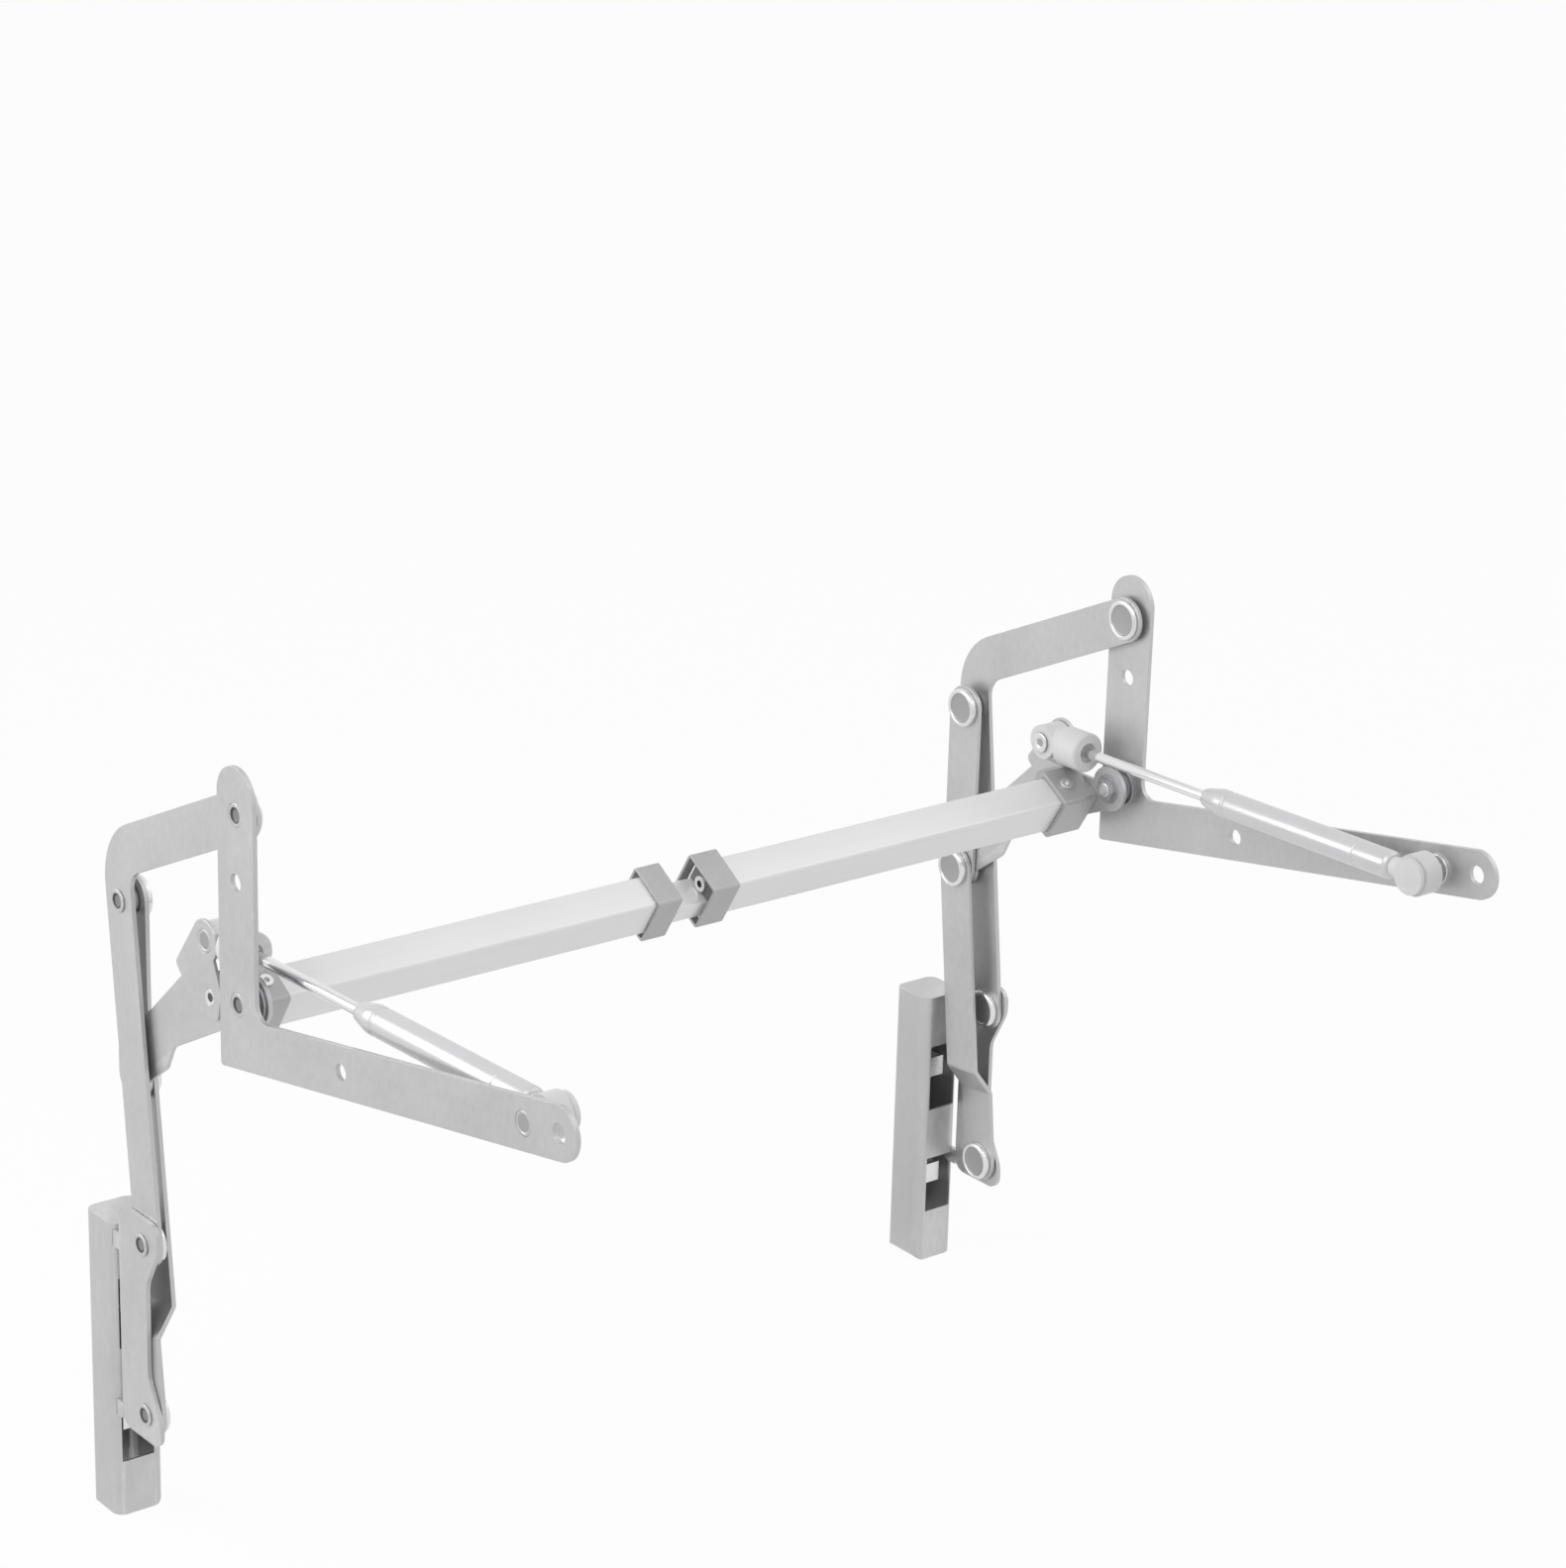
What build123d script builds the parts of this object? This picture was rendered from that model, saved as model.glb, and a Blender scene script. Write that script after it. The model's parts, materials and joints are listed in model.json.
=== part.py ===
from build123d import *
import math
import os

os.makedirs("parts", exist_ok=True)

# Lift-up cabinet hinge: a pair of folding four-bar arms joined by a telescopic cross bar.
# X runs along the cross bar, +Y into the cabinet, +Z up. The origin is midway between the
# two sides, on the axis of the lower plate pivots. The right side is modelled and mirrored.
# Points in a side's own plane are written (y, z). A depth is measured inward from the outer
# face of the side plate, so depth 0 is the face that lies on the cabinet wall.

# Overall layout
set_width = 566.0
pivot_spacing = 96.0
arm_reach = 120.0
arm_drop = 82.0
door_reach = 20.0
door_drop = 179.0

# Sheet metal and the play between moving layers
sheet = 2.5
washer_thickness = 0.3
ear_play = 0.2
head_play = 0.4
strip_width = 25.0
pin_clearance = 0.05

# Rivets, bolts and studs
shank_radius = 4.0
foot_radius = 6.0
foot_height = 1.2
hollow_radius = 2.6
hollow_depth = 2.2
head_radius = 11.0
head_rim = 2.6
head_recess = 0.9
thin_head_height = 2.0
head_height = 3.5
spacer_radius = 8.0
flanged_spacer_radius = 10.8
spacer_flange = 1.6
washer_radius = 8.5
nut_across_flats = 11.0
nut_height = 3.0

# Side plate
plate_width = 32.0
plate_top = 120.0
plate_foot_drop = 19.8
plate_arm_slope = 0.192
plate_arm_width = 26.0
plate_arm_end = 265.0
plate_inner_radius = 8.0
plate_foot_radius = 2.0
upper_hole_height = 62.3
upper_hole_radius = 4.5
middle_hole_y = 91.0
middle_hole_radius = 4.25
rear_hole_radius = 4.75

# Bent arm, folded in plan over its elbow
elbow_rise = 23.85
elbow_bend_radius = 25.0

# Lower arm, its edges placed from the elbow or from the pivot
arm_saddle = 2.0
arm_saddle_end = -56.0
arm_shoulder_across = 21.0
arm_shoulder_rise = 44.0
arm_shoulder_radius = 28.0
arm_back_rise = 20.0
arm_heel_across = 34.0
arm_heel_rise = 16.0
arm_neck_across = 41.0
arm_neck_rise = 30.0
arm_neck_radius = 10.0
arm_waist_y = -36.0
arm_waist_z = -28.5

# Spring plate on the outer side of the lower arm
spring_plate_sheet = 2.0
lug_radius = 11.0
spring_plate_reach = 28.0
spring_plate_drop = 19.5
spring_plate_chamfer = 7.0
spring_plate_foot_across = 4.0
spring_plate_foot_drop = 38.5
spring_plate_side = 15.0
spring_plate_corner = 3.0

# Gas spring
spring_front_y = -43.0
spring_front_z = 17.0
spring_rear_y = 238.0
spring_tube_radius = 7.5
spring_tube_wall = 1.2
spring_tube_length = 140.0
spring_tube_rear_gap = 16.0
spring_nose_length = 12.0
spring_nose_radius = 5.0
spring_rod_radius = 3.0
piston_radius_play = 0.08
piston_length = 9.0
guide_length = 12.0
socket_radius = 9.5
socket_thickness = 14.0
socket_side_play = 0.3
barrel_radius = 11.0
barrel_start = 12.5
barrel_end = 30.5
barrel_edge = 1.0
barrel_neck_radius = 8.0
barrel_recess_radius = 5.5
barrel_recess_depth = 3.0
rod_thread_depth = 9.0
stud_end_radius = 5.5
stud_end_height = 1.5
tube_end_radius = 11.0
tube_end_cap_radius = 9.6
tube_end_groove_radius = 8.4
tube_end_groove = 1.2
tube_end_cap = 2.6
tube_end_neck_radius = 5.2
rear_stud_gap = 0.3
rear_stud_radius = 5.0

# Cross bar, measured across along its upper face and tall square to that face
bar_y = -26.0
bar_z = -12.5
bar_turn = -31.5
bar_across = 20.0
bar_tall = 24.0
bar_wall = 1.2
bar_corner_radius = 2.0
inner_bar_tall = 12.0
inner_bar_wall = 1.5
inner_bar_play = 0.2
inner_bar_right = 95.0
inner_bar_left = -80.0
right_collar_inner = 12.0
right_collar_outer = 27.0
left_collar_inner = -8.0
left_collar_outer = -25.0
collar_across = 26.5
collar_tall = 30.5
collar_wall = 1.6
collar_play = 0.2
collar_overhang = 2.0
clamp_length = 12.0
clamp_play = 0.1
clamp_head_radius = 4.2
clamp_head_height = 1.6
clamp_shank_radius = 2.5
bar_screw_radius = 2.5
screw_head_radius = 3.6
screw_head_height = 1.6
screw_socket_radius = 1.5

# Bar bracket
bracket_wall = 2.5
bracket_play = 0.2
bracket_lip_depth = 35.0
bracket_screw_depth = 27.0
bracket_tongue_across = 36.0
bracket_tongue_rise = 4.5
bracket_tail_across = 12.0
bracket_tail_drop = 15.5
bracket_top_across = 8.0
bracket_top_rise = 16.5
bracket_corner = 5.0
bracket_rivet_across = 13.0
bracket_rivet_rise = 1.5
bracket_rivet_radius = 2.6
bracket_rivet_head = 4.2

# Door link joggle, measured from the elbow along the link
joggle_start = 121.5
joggle_end = 136.5
joggle_bend_radius = 4.0

# Door ear and rail
ear_lobe_radius = 14.5
ear_waist = 3.0
ear_waist_margin = 22.0
ear_setback = 23.5
ear_corner_radius = 8.0
rail_slit = 4.5
tab_length = 9.0
tab_hook = 3.5
upper_tab_drop = 3.0
lower_tab_drop = 99.0
rail_size = 28.0
rail_wall = 1.5
rail_depth = 0.3
rail_length = 167.0
rail_bend_radius = 6.0
window_width = 18.5
window_margin = 3.5
upper_window_top = 31.0
upper_window_bottom = 71.0
lower_window_top = 102.0
lower_window_bottom = 136.0
rail_foot_radius = 6.0
door_screw_radius = 2.6
door_screw_drop = 9.0
slider_thickness = 1.5
slider_play = 0.3
slider_margin = 8.0
hook_height = 12.0
hook_rise = 4.0
hook_setback = 6.0
hook_lip = 8.0
hook_offset = 5.0

# Pivots of one side
lower_pivot = (0.0, 0.0)
upper_pivot = (0.0, pivot_spacing)
lower_elbow = (-arm_reach, -arm_drop)
upper_elbow = (-arm_reach, pivot_spacing - arm_drop)
lower_door_pivot = (lower_elbow[0] + door_reach, lower_elbow[1] - door_drop)
upper_door_pivot = (lower_door_pivot[0], lower_door_pivot[1] + pivot_spacing)
front_stud = (spring_front_y, spring_front_z)
rear_stud = (spring_rear_y, plate_arm_slope * spring_rear_y - plate_foot_drop)

# Depths of the layers of one side
ear_layer = rail_depth + rail_wall + ear_play
bent_arm_layer = ear_layer + sheet + washer_thickness
lower_arm_layer = bent_arm_layer + sheet + thin_head_height + head_play
spring_plate_layer = lower_arm_layer - spring_plate_sheet
upper_link_layer = lower_arm_layer + sheet + washer_thickness
door_link_layer = upper_link_layer + sheet + washer_thickness
bracket_layer = lower_arm_layer + sheet
spring_depth = lower_arm_layer + socket_side_play + socket_thickness / 2

# Spring line from its front stud to its rear stud
spring_length = math.dist(front_stud, rear_stud)
spring_rise = (rear_stud[1] - front_stud[1]) / (rear_stud[0] - front_stud[0])
spring_angle = math.degrees(math.atan(spring_rise))
tube_rear = spring_length - spring_tube_rear_gap
tube_front = tube_rear - spring_tube_length

# Fixing that holds spring plate, lower arm and bracket together
bracket_rivet_point = (bar_y - bracket_rivet_across, bar_z + bracket_rivet_rise)


def rounded_face(corners):
    """Face inside a closed outline of corners (a, b, radius), each rounded where its edges allow."""
    pieces = []
    last = None
    first = None
    count = len(corners)
    for index, (a, b, radius) in enumerate(corners):
        corner = Vector(a, b)
        before = corner - Vector(*corners[index - 1][:2])
        after = Vector(*corners[(index + 1) % count][:2]) - corner
        way_in = before.normalized()
        way_out = after.normalized()
        half_turn = math.radians(way_in.get_angle(way_out)) / 2
        reach = min(radius * math.tan(half_turn), 0.499 * before.length, 0.499 * after.length)
        start = corner - way_in * reach
        end = corner + way_out * reach
        if last is None:
            first = start
        elif (start - last).length > 1e-6:
            pieces.append(Line(last, start))
        if reach > 1e-6:
            bulge = reach / math.tan(half_turn) * (1 / math.cos(half_turn) - 1)
            middle = corner + (way_out - way_in).normalized() * bulge
            pieces.append(ThreePointArc(start, middle, end))
        last = end
    pieces.append(Line(last, first))
    return make_face(pieces)


def strip_face(points, width, bend_radius=0.0, round_ends=True):
    """Face of a strip of even width along a line of points, its bends rounded on the centre line."""
    half = width / 2
    left = []
    right = []
    for index, point in enumerate(points):
        here = Vector(*point)
        ways = []
        if index > 0:
            ways.append((here - Vector(*points[index - 1])).normalized())
        if index < len(points) - 1:
            ways.append((Vector(*points[index + 1]) - here).normalized())
        normals = [Vector(-way.Y, way.X) for way in ways]
        turn = 0.0
        if len(ways) == 2:
            turn = ways[0].cross(ways[1]).Z
        mitre = (normals[0] + normals[-1]) * (half / (1 + normals[0].dot(normals[-1])))
        inner = max(bend_radius - half, 0.0) if len(ways) == 2 else 0.0
        outer = bend_radius + half if len(ways) == 2 else 0.0
        left_radius, right_radius = (inner, outer) if turn > 0 else (outer, inner)
        left.append(((here + mitre).X, (here + mitre).Y, left_radius))
        right.append(((here - mitre).X, (here - mitre).Y, right_radius))
    face = rounded_face(left + right[::-1])
    if round_ends:
        face = face + Pos(*points[0]) * Circle(half) + Pos(*points[-1]) * Circle(half)
    return face


def slab(face, outer, inner):
    """Solid of a face drawn in a side's plane, between two depths of the right side."""
    plane = Plane(origin=(set_width / 2 - inner, 0, 0), x_dir=(0, 1, 0), z_dir=(1, 0, 0))
    return extrude(plane * face, amount=inner - outer, dir=(1, 0, 0))


def pin(point, radius, outer, inner):
    """Round pin across the sheets at a point of a side's plane."""
    return slab(Pos(*point) * Circle(radius), outer, inner)


def pin_hole(point, outer, inner):
    """Hole that a rivet's shank turns in."""
    return pin(point, shank_radius + pin_clearance, outer - sheet, inner + sheet)


def ring(point, radius, outer, inner):
    """Flat washer or spacer round a rivet's shank."""
    return pin(point, radius, outer, inner) - pin_hole(point, outer, inner)


def rivet(point, outer, inner, height, flush=False):
    """Rivet with a hollow foot at its outer end and a dished head at its inner end."""
    foot = (outer, outer + foot_height) if flush else (outer - foot_height, outer)
    body = pin(point, shank_radius, outer, inner) + pin(point, foot_radius, *foot)
    body += pin(point, head_radius, inner, inner + height)
    body -= pin(point, hollow_radius, foot[0], foot[0] + hollow_depth)
    dish = pin(point, head_radius - head_rim, inner + height - head_recess, inner + height)
    return body - dish


def foot_seat(point, radius=foot_radius, outer=0.0):
    """Sunk seat for a flush rivet foot in the outer face of a sheet."""
    return pin(point, radius + pin_clearance, outer, outer + foot_height)


def side_plate():
    """Fixing plate: an upright arm with both pivots and a long rising arm toward the back."""
    half = plate_width / 2
    across = plate_arm_width / 2 * math.hypot(1, plate_arm_slope)
    corners = [
        (-half, -plate_foot_drop - plate_arm_slope * half - across, plate_foot_radius),
        (plate_arm_end, plate_arm_slope * plate_arm_end - plate_foot_drop - across, 0),
        (plate_arm_end, plate_arm_slope * plate_arm_end - plate_foot_drop + across, 0),
        (half, plate_arm_slope * half - plate_foot_drop + across, plate_inner_radius),
        (half, plate_top, half),
        (-half, plate_top, half),
    ]
    rear_hole = (plate_arm_end, plate_arm_slope * plate_arm_end - plate_foot_drop)
    face = rounded_face(corners) + Pos(*rear_hole) * Circle(plate_arm_width / 2)
    face -= Pos(*rear_hole) * Circle(rear_hole_radius)
    face -= Pos(0, upper_hole_height) * Circle(upper_hole_radius)
    middle_hole_z = plate_arm_slope * middle_hole_y - plate_foot_drop
    face -= Pos(middle_hole_y, middle_hole_z) * Circle(middle_hole_radius)
    plate = slab(face, 0, sheet)
    for point in (upper_pivot, lower_pivot, rear_stud):
        plate -= pin_hole(point, 0, sheet) + foot_seat(point)
    return plate


def plate_pivots():
    """Rivet of the bent arm, bolt of the lower arm and stud that stands just short of the spring's end."""
    upper = rivet(upper_pivot, 0, bent_arm_layer + sheet, thin_head_height, flush=True)
    bolt_end = lower_arm_layer + sheet + washer_thickness + nut_height
    lower = pin(lower_pivot, shank_radius, 0, bolt_end) + pin(lower_pivot, foot_radius, 0, foot_height)
    lower -= pin(lower_pivot, hollow_radius, 0, hollow_depth)
    stud_end = spring_depth - socket_thickness / 2 - rear_stud_gap
    stud = pin(rear_stud, shank_radius, 0, sheet) + pin(rear_stud, foot_radius, 0, foot_height)
    stud += pin(rear_stud, spacer_radius, sheet, sheet + spacer_flange)
    stud += pin(rear_stud, rear_stud_radius, sheet, stud_end)
    stud -= pin(rear_stud, hollow_radius, 0, hollow_depth)
    return [upper, lower, stud]


def pivot_nut():
    """Hexagon nut and washer that keep the lower arm on its bolt."""
    start = lower_arm_layer + sheet
    washer = ring(lower_pivot, washer_radius, start, start + washer_thickness)
    start += washer_thickness
    hexagon = RegularPolygon(nut_across_flats / 2, 6, major_radius=False)
    nut = slab(Pos(*lower_pivot) * hexagon, start, start + nut_height)
    return [washer, nut - pin_hole(lower_pivot, start, start + nut_height)]


def plate_spacers():
    """Spacer sleeve of the bent arm and flanged spacer of the lower arm."""
    upper = ring(upper_pivot, spacer_radius, sheet, bent_arm_layer)
    lower = ring(lower_pivot, spacer_radius, sheet, lower_arm_layer)
    for start in (sheet, lower_arm_layer - spacer_flange):
        lower += ring(lower_pivot, flanged_spacer_radius, start, start + spacer_flange)
    return [upper, lower]


def bent_arm():
    """Rigid arm from the plate's upper pivot over the elbow down to the door ear."""
    run = Vector(*upper_door_pivot) - Vector(*upper_elbow)
    corner = Vector(*upper_elbow) - run.normalized() * elbow_rise
    path = [upper_pivot, (corner.X, corner.Y), upper_door_pivot]
    arm = slab(strip_face(path, strip_width, elbow_bend_radius), bent_arm_layer, bent_arm_layer + sheet)
    for point in (upper_pivot, upper_elbow, upper_door_pivot):
        arm -= pin_hole(point, bent_arm_layer, bent_arm_layer + sheet)
    return arm


def elbow_rivet():
    """Rivet that carries the upper link on the bent arm."""
    return rivet(upper_elbow, bent_arm_layer, upper_link_layer + sheet, head_height)


def elbow_spacer():
    """Sleeve between the bent arm and the upper link."""
    return ring(upper_elbow, spacer_radius, bent_arm_layer + sheet, upper_link_layer)


def lower_arm():
    """Broad arm from the plate's lower pivot to the elbow, with a saddle under the spring."""
    half = strip_width / 2
    y, z = lower_elbow
    corners = [
        (y - half, z, 0),
        (y + half, z, 0),
        (y + arm_heel_across, z + arm_heel_rise, arm_neck_radius),
        (y + arm_neck_across, z + arm_neck_rise, arm_neck_radius),
        (arm_waist_y, arm_waist_z, half),
        (lower_pivot[0], lower_pivot[1] - half, 0),
        (lower_pivot[0], lower_pivot[1] + arm_saddle, 0),
        (arm_saddle_end, arm_saddle, half / 2),
        (y + arm_shoulder_across, z + arm_shoulder_rise, arm_shoulder_radius),
        (y - half, z + arm_back_rise, arm_back_rise),
    ]
    face = rounded_face(corners) + Pos(*lower_elbow) * Circle(half) + Pos(*lower_pivot) * Circle(half)
    arm = slab(face, lower_arm_layer, lower_arm_layer + sheet)
    for point in (lower_elbow, lower_pivot):
        arm -= pin_hole(point, lower_arm_layer, lower_arm_layer + sheet)
    return arm - bracket_rivet_hole(lower_arm_layer, lower_arm_layer + sheet)


def bracket_rivet_hole(outer, inner):
    """Hole for the fixing that holds spring plate, lower arm and bracket together."""
    return pin(bracket_rivet_point, bracket_rivet_radius + pin_clearance, outer - sheet, inner + sheet)


def spring_plate():
    """Plate on the outer side of the lower arm, with the lug that carries the spring's stud."""
    y, z = front_stud
    diagonal = lug_radius * math.sqrt(0.5)
    foot = z - spring_plate_foot_drop
    corners = [
        (y - diagonal, z + diagonal, 0),
        (y - spring_plate_reach, z - spring_plate_drop, spring_plate_corner),
        (y - spring_plate_reach + spring_plate_chamfer, z - spring_plate_drop - spring_plate_chamfer,
         spring_plate_corner),
        (y - spring_plate_foot_across, foot, spring_plate_corner),
        (y + lug_radius, foot, spring_plate_corner),
        (y + spring_plate_side, foot + spring_plate_side, spring_plate_corner),
        (y + diagonal, z - diagonal, 0),
    ]
    face = rounded_face(corners) + Pos(*front_stud) * Circle(lug_radius)
    plate = slab(face, spring_plate_layer, lower_arm_layer)
    plate -= pin_hole(front_stud, spring_plate_layer, lower_arm_layer)
    plate -= foot_seat(front_stud, outer=spring_plate_layer)
    plate -= bracket_rivet_hole(spring_plate_layer, lower_arm_layer)
    return plate - foot_seat(bracket_rivet_point, bracket_rivet_head, spring_plate_layer)


def bar_section(across, tall, radius, shift=(0.0, 0.0)):
    """Rectangle across the bar at the bar's own turn, shifted along and square to its upper face."""
    return Pos(bar_y, bar_z) * Rot(0, 0, bar_turn) * Pos(*shift) * RectangleRounded(across, tall, radius)


def bar_bracket():
    """Bracket on the lower arm: a flange plate and a socket that holds the bar's end."""
    bore = (bar_across + 2 * bracket_play, bar_tall + 2 * bracket_play)
    outside = (bore[0] + 2 * bracket_wall, bore[1] + 2 * bracket_wall)
    flange = rounded_face([
        (bar_y - bracket_tongue_across, bar_z + bracket_tongue_rise, bracket_corner),
        (bar_y - bracket_tail_across, bar_z - bracket_tail_drop, bracket_corner),
        (bar_y, bar_z, 0),
        (bar_y - bracket_top_across, bar_z + bracket_top_rise, bracket_corner / 2),
    ])
    flange += bar_section(*outside, bracket_wall)
    bracket = slab(flange, bracket_layer, bracket_layer + sheet)
    socket = bar_section(*outside, bracket_wall) - bar_section(*bore, bar_corner_radius)
    bracket += slab(socket, bracket_layer + sheet, bracket_lip_depth)
    bracket -= bracket_rivet_hole(bracket_layer, bracket_layer + sheet)
    return bracket - bar_screw_hole(bracket_screw_depth)


def bar_face_plane(x):
    """Plane on the bar's upper face at a station along X, its normal out of the face."""
    upward = Vector(0, -math.sin(math.radians(bar_turn)), math.cos(math.radians(bar_turn)))
    centre = Vector(x, bar_y, bar_z) + upward * (bar_tall / 2)
    return Plane(origin=centre, x_dir=(1, 0, 0), z_dir=upward)


def bar_screw(x, wall):
    """Clamping screw through a wall onto the bar's upper face, with a socket in its head."""
    plane = bar_face_plane(x)
    screw = extrude(plane * Circle(bar_screw_radius), amount=wall, dir=plane.z_dir)
    top = plane.offset(wall)
    screw += extrude(top * Circle(screw_head_radius), amount=screw_head_height, dir=plane.z_dir)
    socket = top.offset(screw_head_height) * RegularPolygon(screw_socket_radius, 6)
    return screw - extrude(socket, amount=screw_head_height, dir=-plane.z_dir)


def bar_screw_hole(depth):
    """Hole for a clamping screw in the socket's upper wall, at a depth of the right side."""
    plane = bar_face_plane(set_width / 2 - depth)
    hole = Circle(bar_screw_radius + pin_clearance)
    return extrude(plane * hole, amount=2 * bracket_wall, dir=plane.z_dir)


def bracket_fixings():
    """Flush rivet of the bracket and the screw that clamps the bar in its socket."""
    fixing = pin(bracket_rivet_point, bracket_rivet_radius, spring_plate_layer, bracket_layer + sheet)
    head_end = spring_plate_layer + foot_height
    fixing += pin(bracket_rivet_point, bracket_rivet_head, spring_plate_layer, head_end)
    return [fixing, bar_screw(set_width / 2 - bracket_screw_depth, bracket_wall + bracket_play)]


def knee_rivet():
    """Rivet that carries both links on the lower arm."""
    return rivet(lower_elbow, lower_arm_layer, door_link_layer + sheet, head_height)


def knee_washers():
    """Thin washers on both sides of the upper link at the knee."""
    washers = []
    for start in (lower_arm_layer + sheet, upper_link_layer + sheet):
        washers.append(ring(lower_elbow, washer_radius, start, start + washer_thickness))
    return washers


def spring_front_stud():
    """Stud that the spring's front socket turns on, flush in its plate and closed by a button end."""
    end = spring_depth + socket_thickness / 2 + socket_side_play
    stud = pin(front_stud, shank_radius, spring_plate_layer, end)
    stud += pin(front_stud, foot_radius, spring_plate_layer, spring_plate_layer + foot_height)
    stud += pin(front_stud, stud_end_radius, end, end + stud_end_height)
    return stud - pin(front_stud, hollow_radius, spring_plate_layer, spring_plate_layer + foot_height)


def upper_link():
    """Straight link between the bent arm and the knee."""
    outline = strip_face([upper_elbow, lower_elbow], strip_width)
    link = slab(outline, upper_link_layer, upper_link_layer + sheet)
    for point in (upper_elbow, lower_elbow):
        link -= pin_hole(point, upper_link_layer, upper_link_layer + sheet)
    return link


def door_link():
    """Link from the knee to the door ear, joggled outward into the bent arm's layer."""
    length = math.dist(lower_elbow, lower_door_pivot)
    way = (Vector(*lower_door_pivot) - Vector(*lower_elbow)) / length
    inner = door_link_layer + sheet / 2
    outer = bent_arm_layer + sheet / 2
    half = strip_width / 2
    path = [(-half, inner), (joggle_start, inner), (joggle_end, outer), (length + half, outer)]
    section = strip_face(path, sheet, joggle_bend_radius, round_ends=False)
    origin = Vector(set_width / 2, lower_elbow[0], lower_elbow[1])
    along = Vector(0, way.X, way.Y)
    across = along.cross(Vector(-1, 0, 0))
    plane = Plane(origin=origin, x_dir=along, z_dir=across)
    blank = extrude(plane * section, amount=half, dir=across, both=True)
    outline = strip_face([lower_elbow, lower_door_pivot], strip_width)
    link = blank & slab(outline, bent_arm_layer, door_link_layer + sheet)
    link -= pin_hole(lower_elbow, door_link_layer, door_link_layer + sheet)
    return link - pin_hole(lower_door_pivot, bent_arm_layer, bent_arm_layer + sheet)


def ear_tabs():
    """Heights of the top and bottom of each tab that hooks the ear into the rail."""
    tops = [upper_door_pivot[1] - upper_tab_drop, upper_door_pivot[1] - lower_tab_drop]
    return [(top, top - tab_length) for top in tops]


def door_ear():
    """Ear with both door pivots, held to the rail by two hooked tabs."""
    y = lower_door_pivot[0]
    edge = y - ear_setback
    lobe = y + ear_lobe_radius
    waist = y + ear_waist
    top = upper_door_pivot[1] + ear_lobe_radius
    bottom = lower_door_pivot[1] - ear_lobe_radius
    corners = [
        (edge, bottom, ear_corner_radius),
        (lobe, bottom, ear_lobe_radius),
        (lobe, lower_door_pivot[1], ear_lobe_radius),
        (waist, lower_door_pivot[1] + ear_waist_margin, ear_lobe_radius),
        (waist, upper_door_pivot[1] - ear_waist_margin, ear_lobe_radius),
        (lobe, upper_door_pivot[1], ear_lobe_radius),
        (lobe, top, ear_lobe_radius),
        (edge, top, ear_corner_radius),
    ]
    face = rounded_face(corners)
    reach = rail_slit + rail_wall + tab_hook
    for tab_top, tab_bottom in ear_tabs():
        face += Pos(edge - reach / 2, (tab_top + tab_bottom) / 2) * Rectangle(reach, tab_top - tab_bottom)
    ear = slab(face, ear_layer, ear_layer + sheet)
    for point in (lower_door_pivot, upper_door_pivot):
        ear -= pin_hole(point, ear_layer, ear_layer + sheet)
    return ear


def door_rivets():
    """Rivets of the bent arm and of the door link in the ear."""
    return [rivet(point, ear_layer, bent_arm_layer + sheet, head_height)
            for point in (upper_door_pivot, lower_door_pivot)]


def door_washers():
    """Thin washers between the ear and both arms."""
    return [ring(point, washer_radius, ear_layer + sheet, bent_arm_layer)
            for point in (upper_door_pivot, lower_door_pivot)]


def rail_windows():
    """Top and bottom heights of the two screwdriver windows of the rail."""
    top = upper_door_pivot[1]
    return [(top - upper_window_top, top - upper_window_bottom),
            (top - lower_window_top, top - lower_window_bottom)]


def rail_box(x_outer, x_inner, y_back, y_front, z_bottom, z_top):
    """Box of the right side between two depths, two y places and two heights."""
    size = (x_inner - x_outer, y_front - y_back, z_top - z_bottom)
    centre = (set_width / 2 - (x_outer + x_inner) / 2, (y_back + y_front) / 2, (z_bottom + z_top) / 2)
    return Pos(*centre) * Box(*size)


def door_rail():
    """Folded rail with a closed top that is screwed to the door through its two windows."""
    front = upper_door_pivot[0] - ear_setback - rail_slit
    top = upper_door_pivot[1]
    middle = (set_width / 2 - rail_depth - rail_size / 2, front - rail_size / 2)
    bore = rail_size - 2 * rail_wall
    section = RectangleRounded(rail_size, rail_size, rail_bend_radius)
    section -= RectangleRounded(bore, bore, rail_bend_radius - rail_wall)
    rail = extrude(Pos(middle[0], middle[1], top - rail_length) * section, amount=rail_length, dir=(0, 0, 1))
    lid = RectangleRounded(rail_size, rail_size, rail_bend_radius)
    rail += extrude(Pos(middle[0], middle[1], top - rail_wall) * lid, amount=rail_wall, dir=(0, 0, 1))
    low = top - rail_length
    half = rail_size / 2
    outline = rounded_face([(middle[0] - half, low, rail_foot_radius), (middle[0] + half, low, 0),
                            (middle[0] + half, top, 0), (middle[0] - half, top, 0)])
    upright = Plane(origin=(0, front, 0), x_dir=(1, 0, 0), z_dir=(0, -1, 0))
    rail = rail & extrude(upright * outline, amount=rail_size, dir=(0, -1, 0))
    for window_top, window_bottom in rail_windows():
        start = rail_depth + window_margin
        rail -= rail_box(start, start + window_width, front - 2 * rail_wall, front + rail_wall,
                         window_bottom, window_top)
        rail -= door_screw_hole((window_top + window_bottom) / 2 - door_screw_drop)
    for tab_top, tab_bottom in ear_tabs():
        rail -= rail_box(ear_layer - 2 * pin_clearance, ear_layer + sheet + 2 * pin_clearance,
                         front - rail_bend_radius, front + rail_wall,
                         tab_bottom - 2 * pin_clearance, tab_top + 2 * pin_clearance)
    return rail


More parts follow.
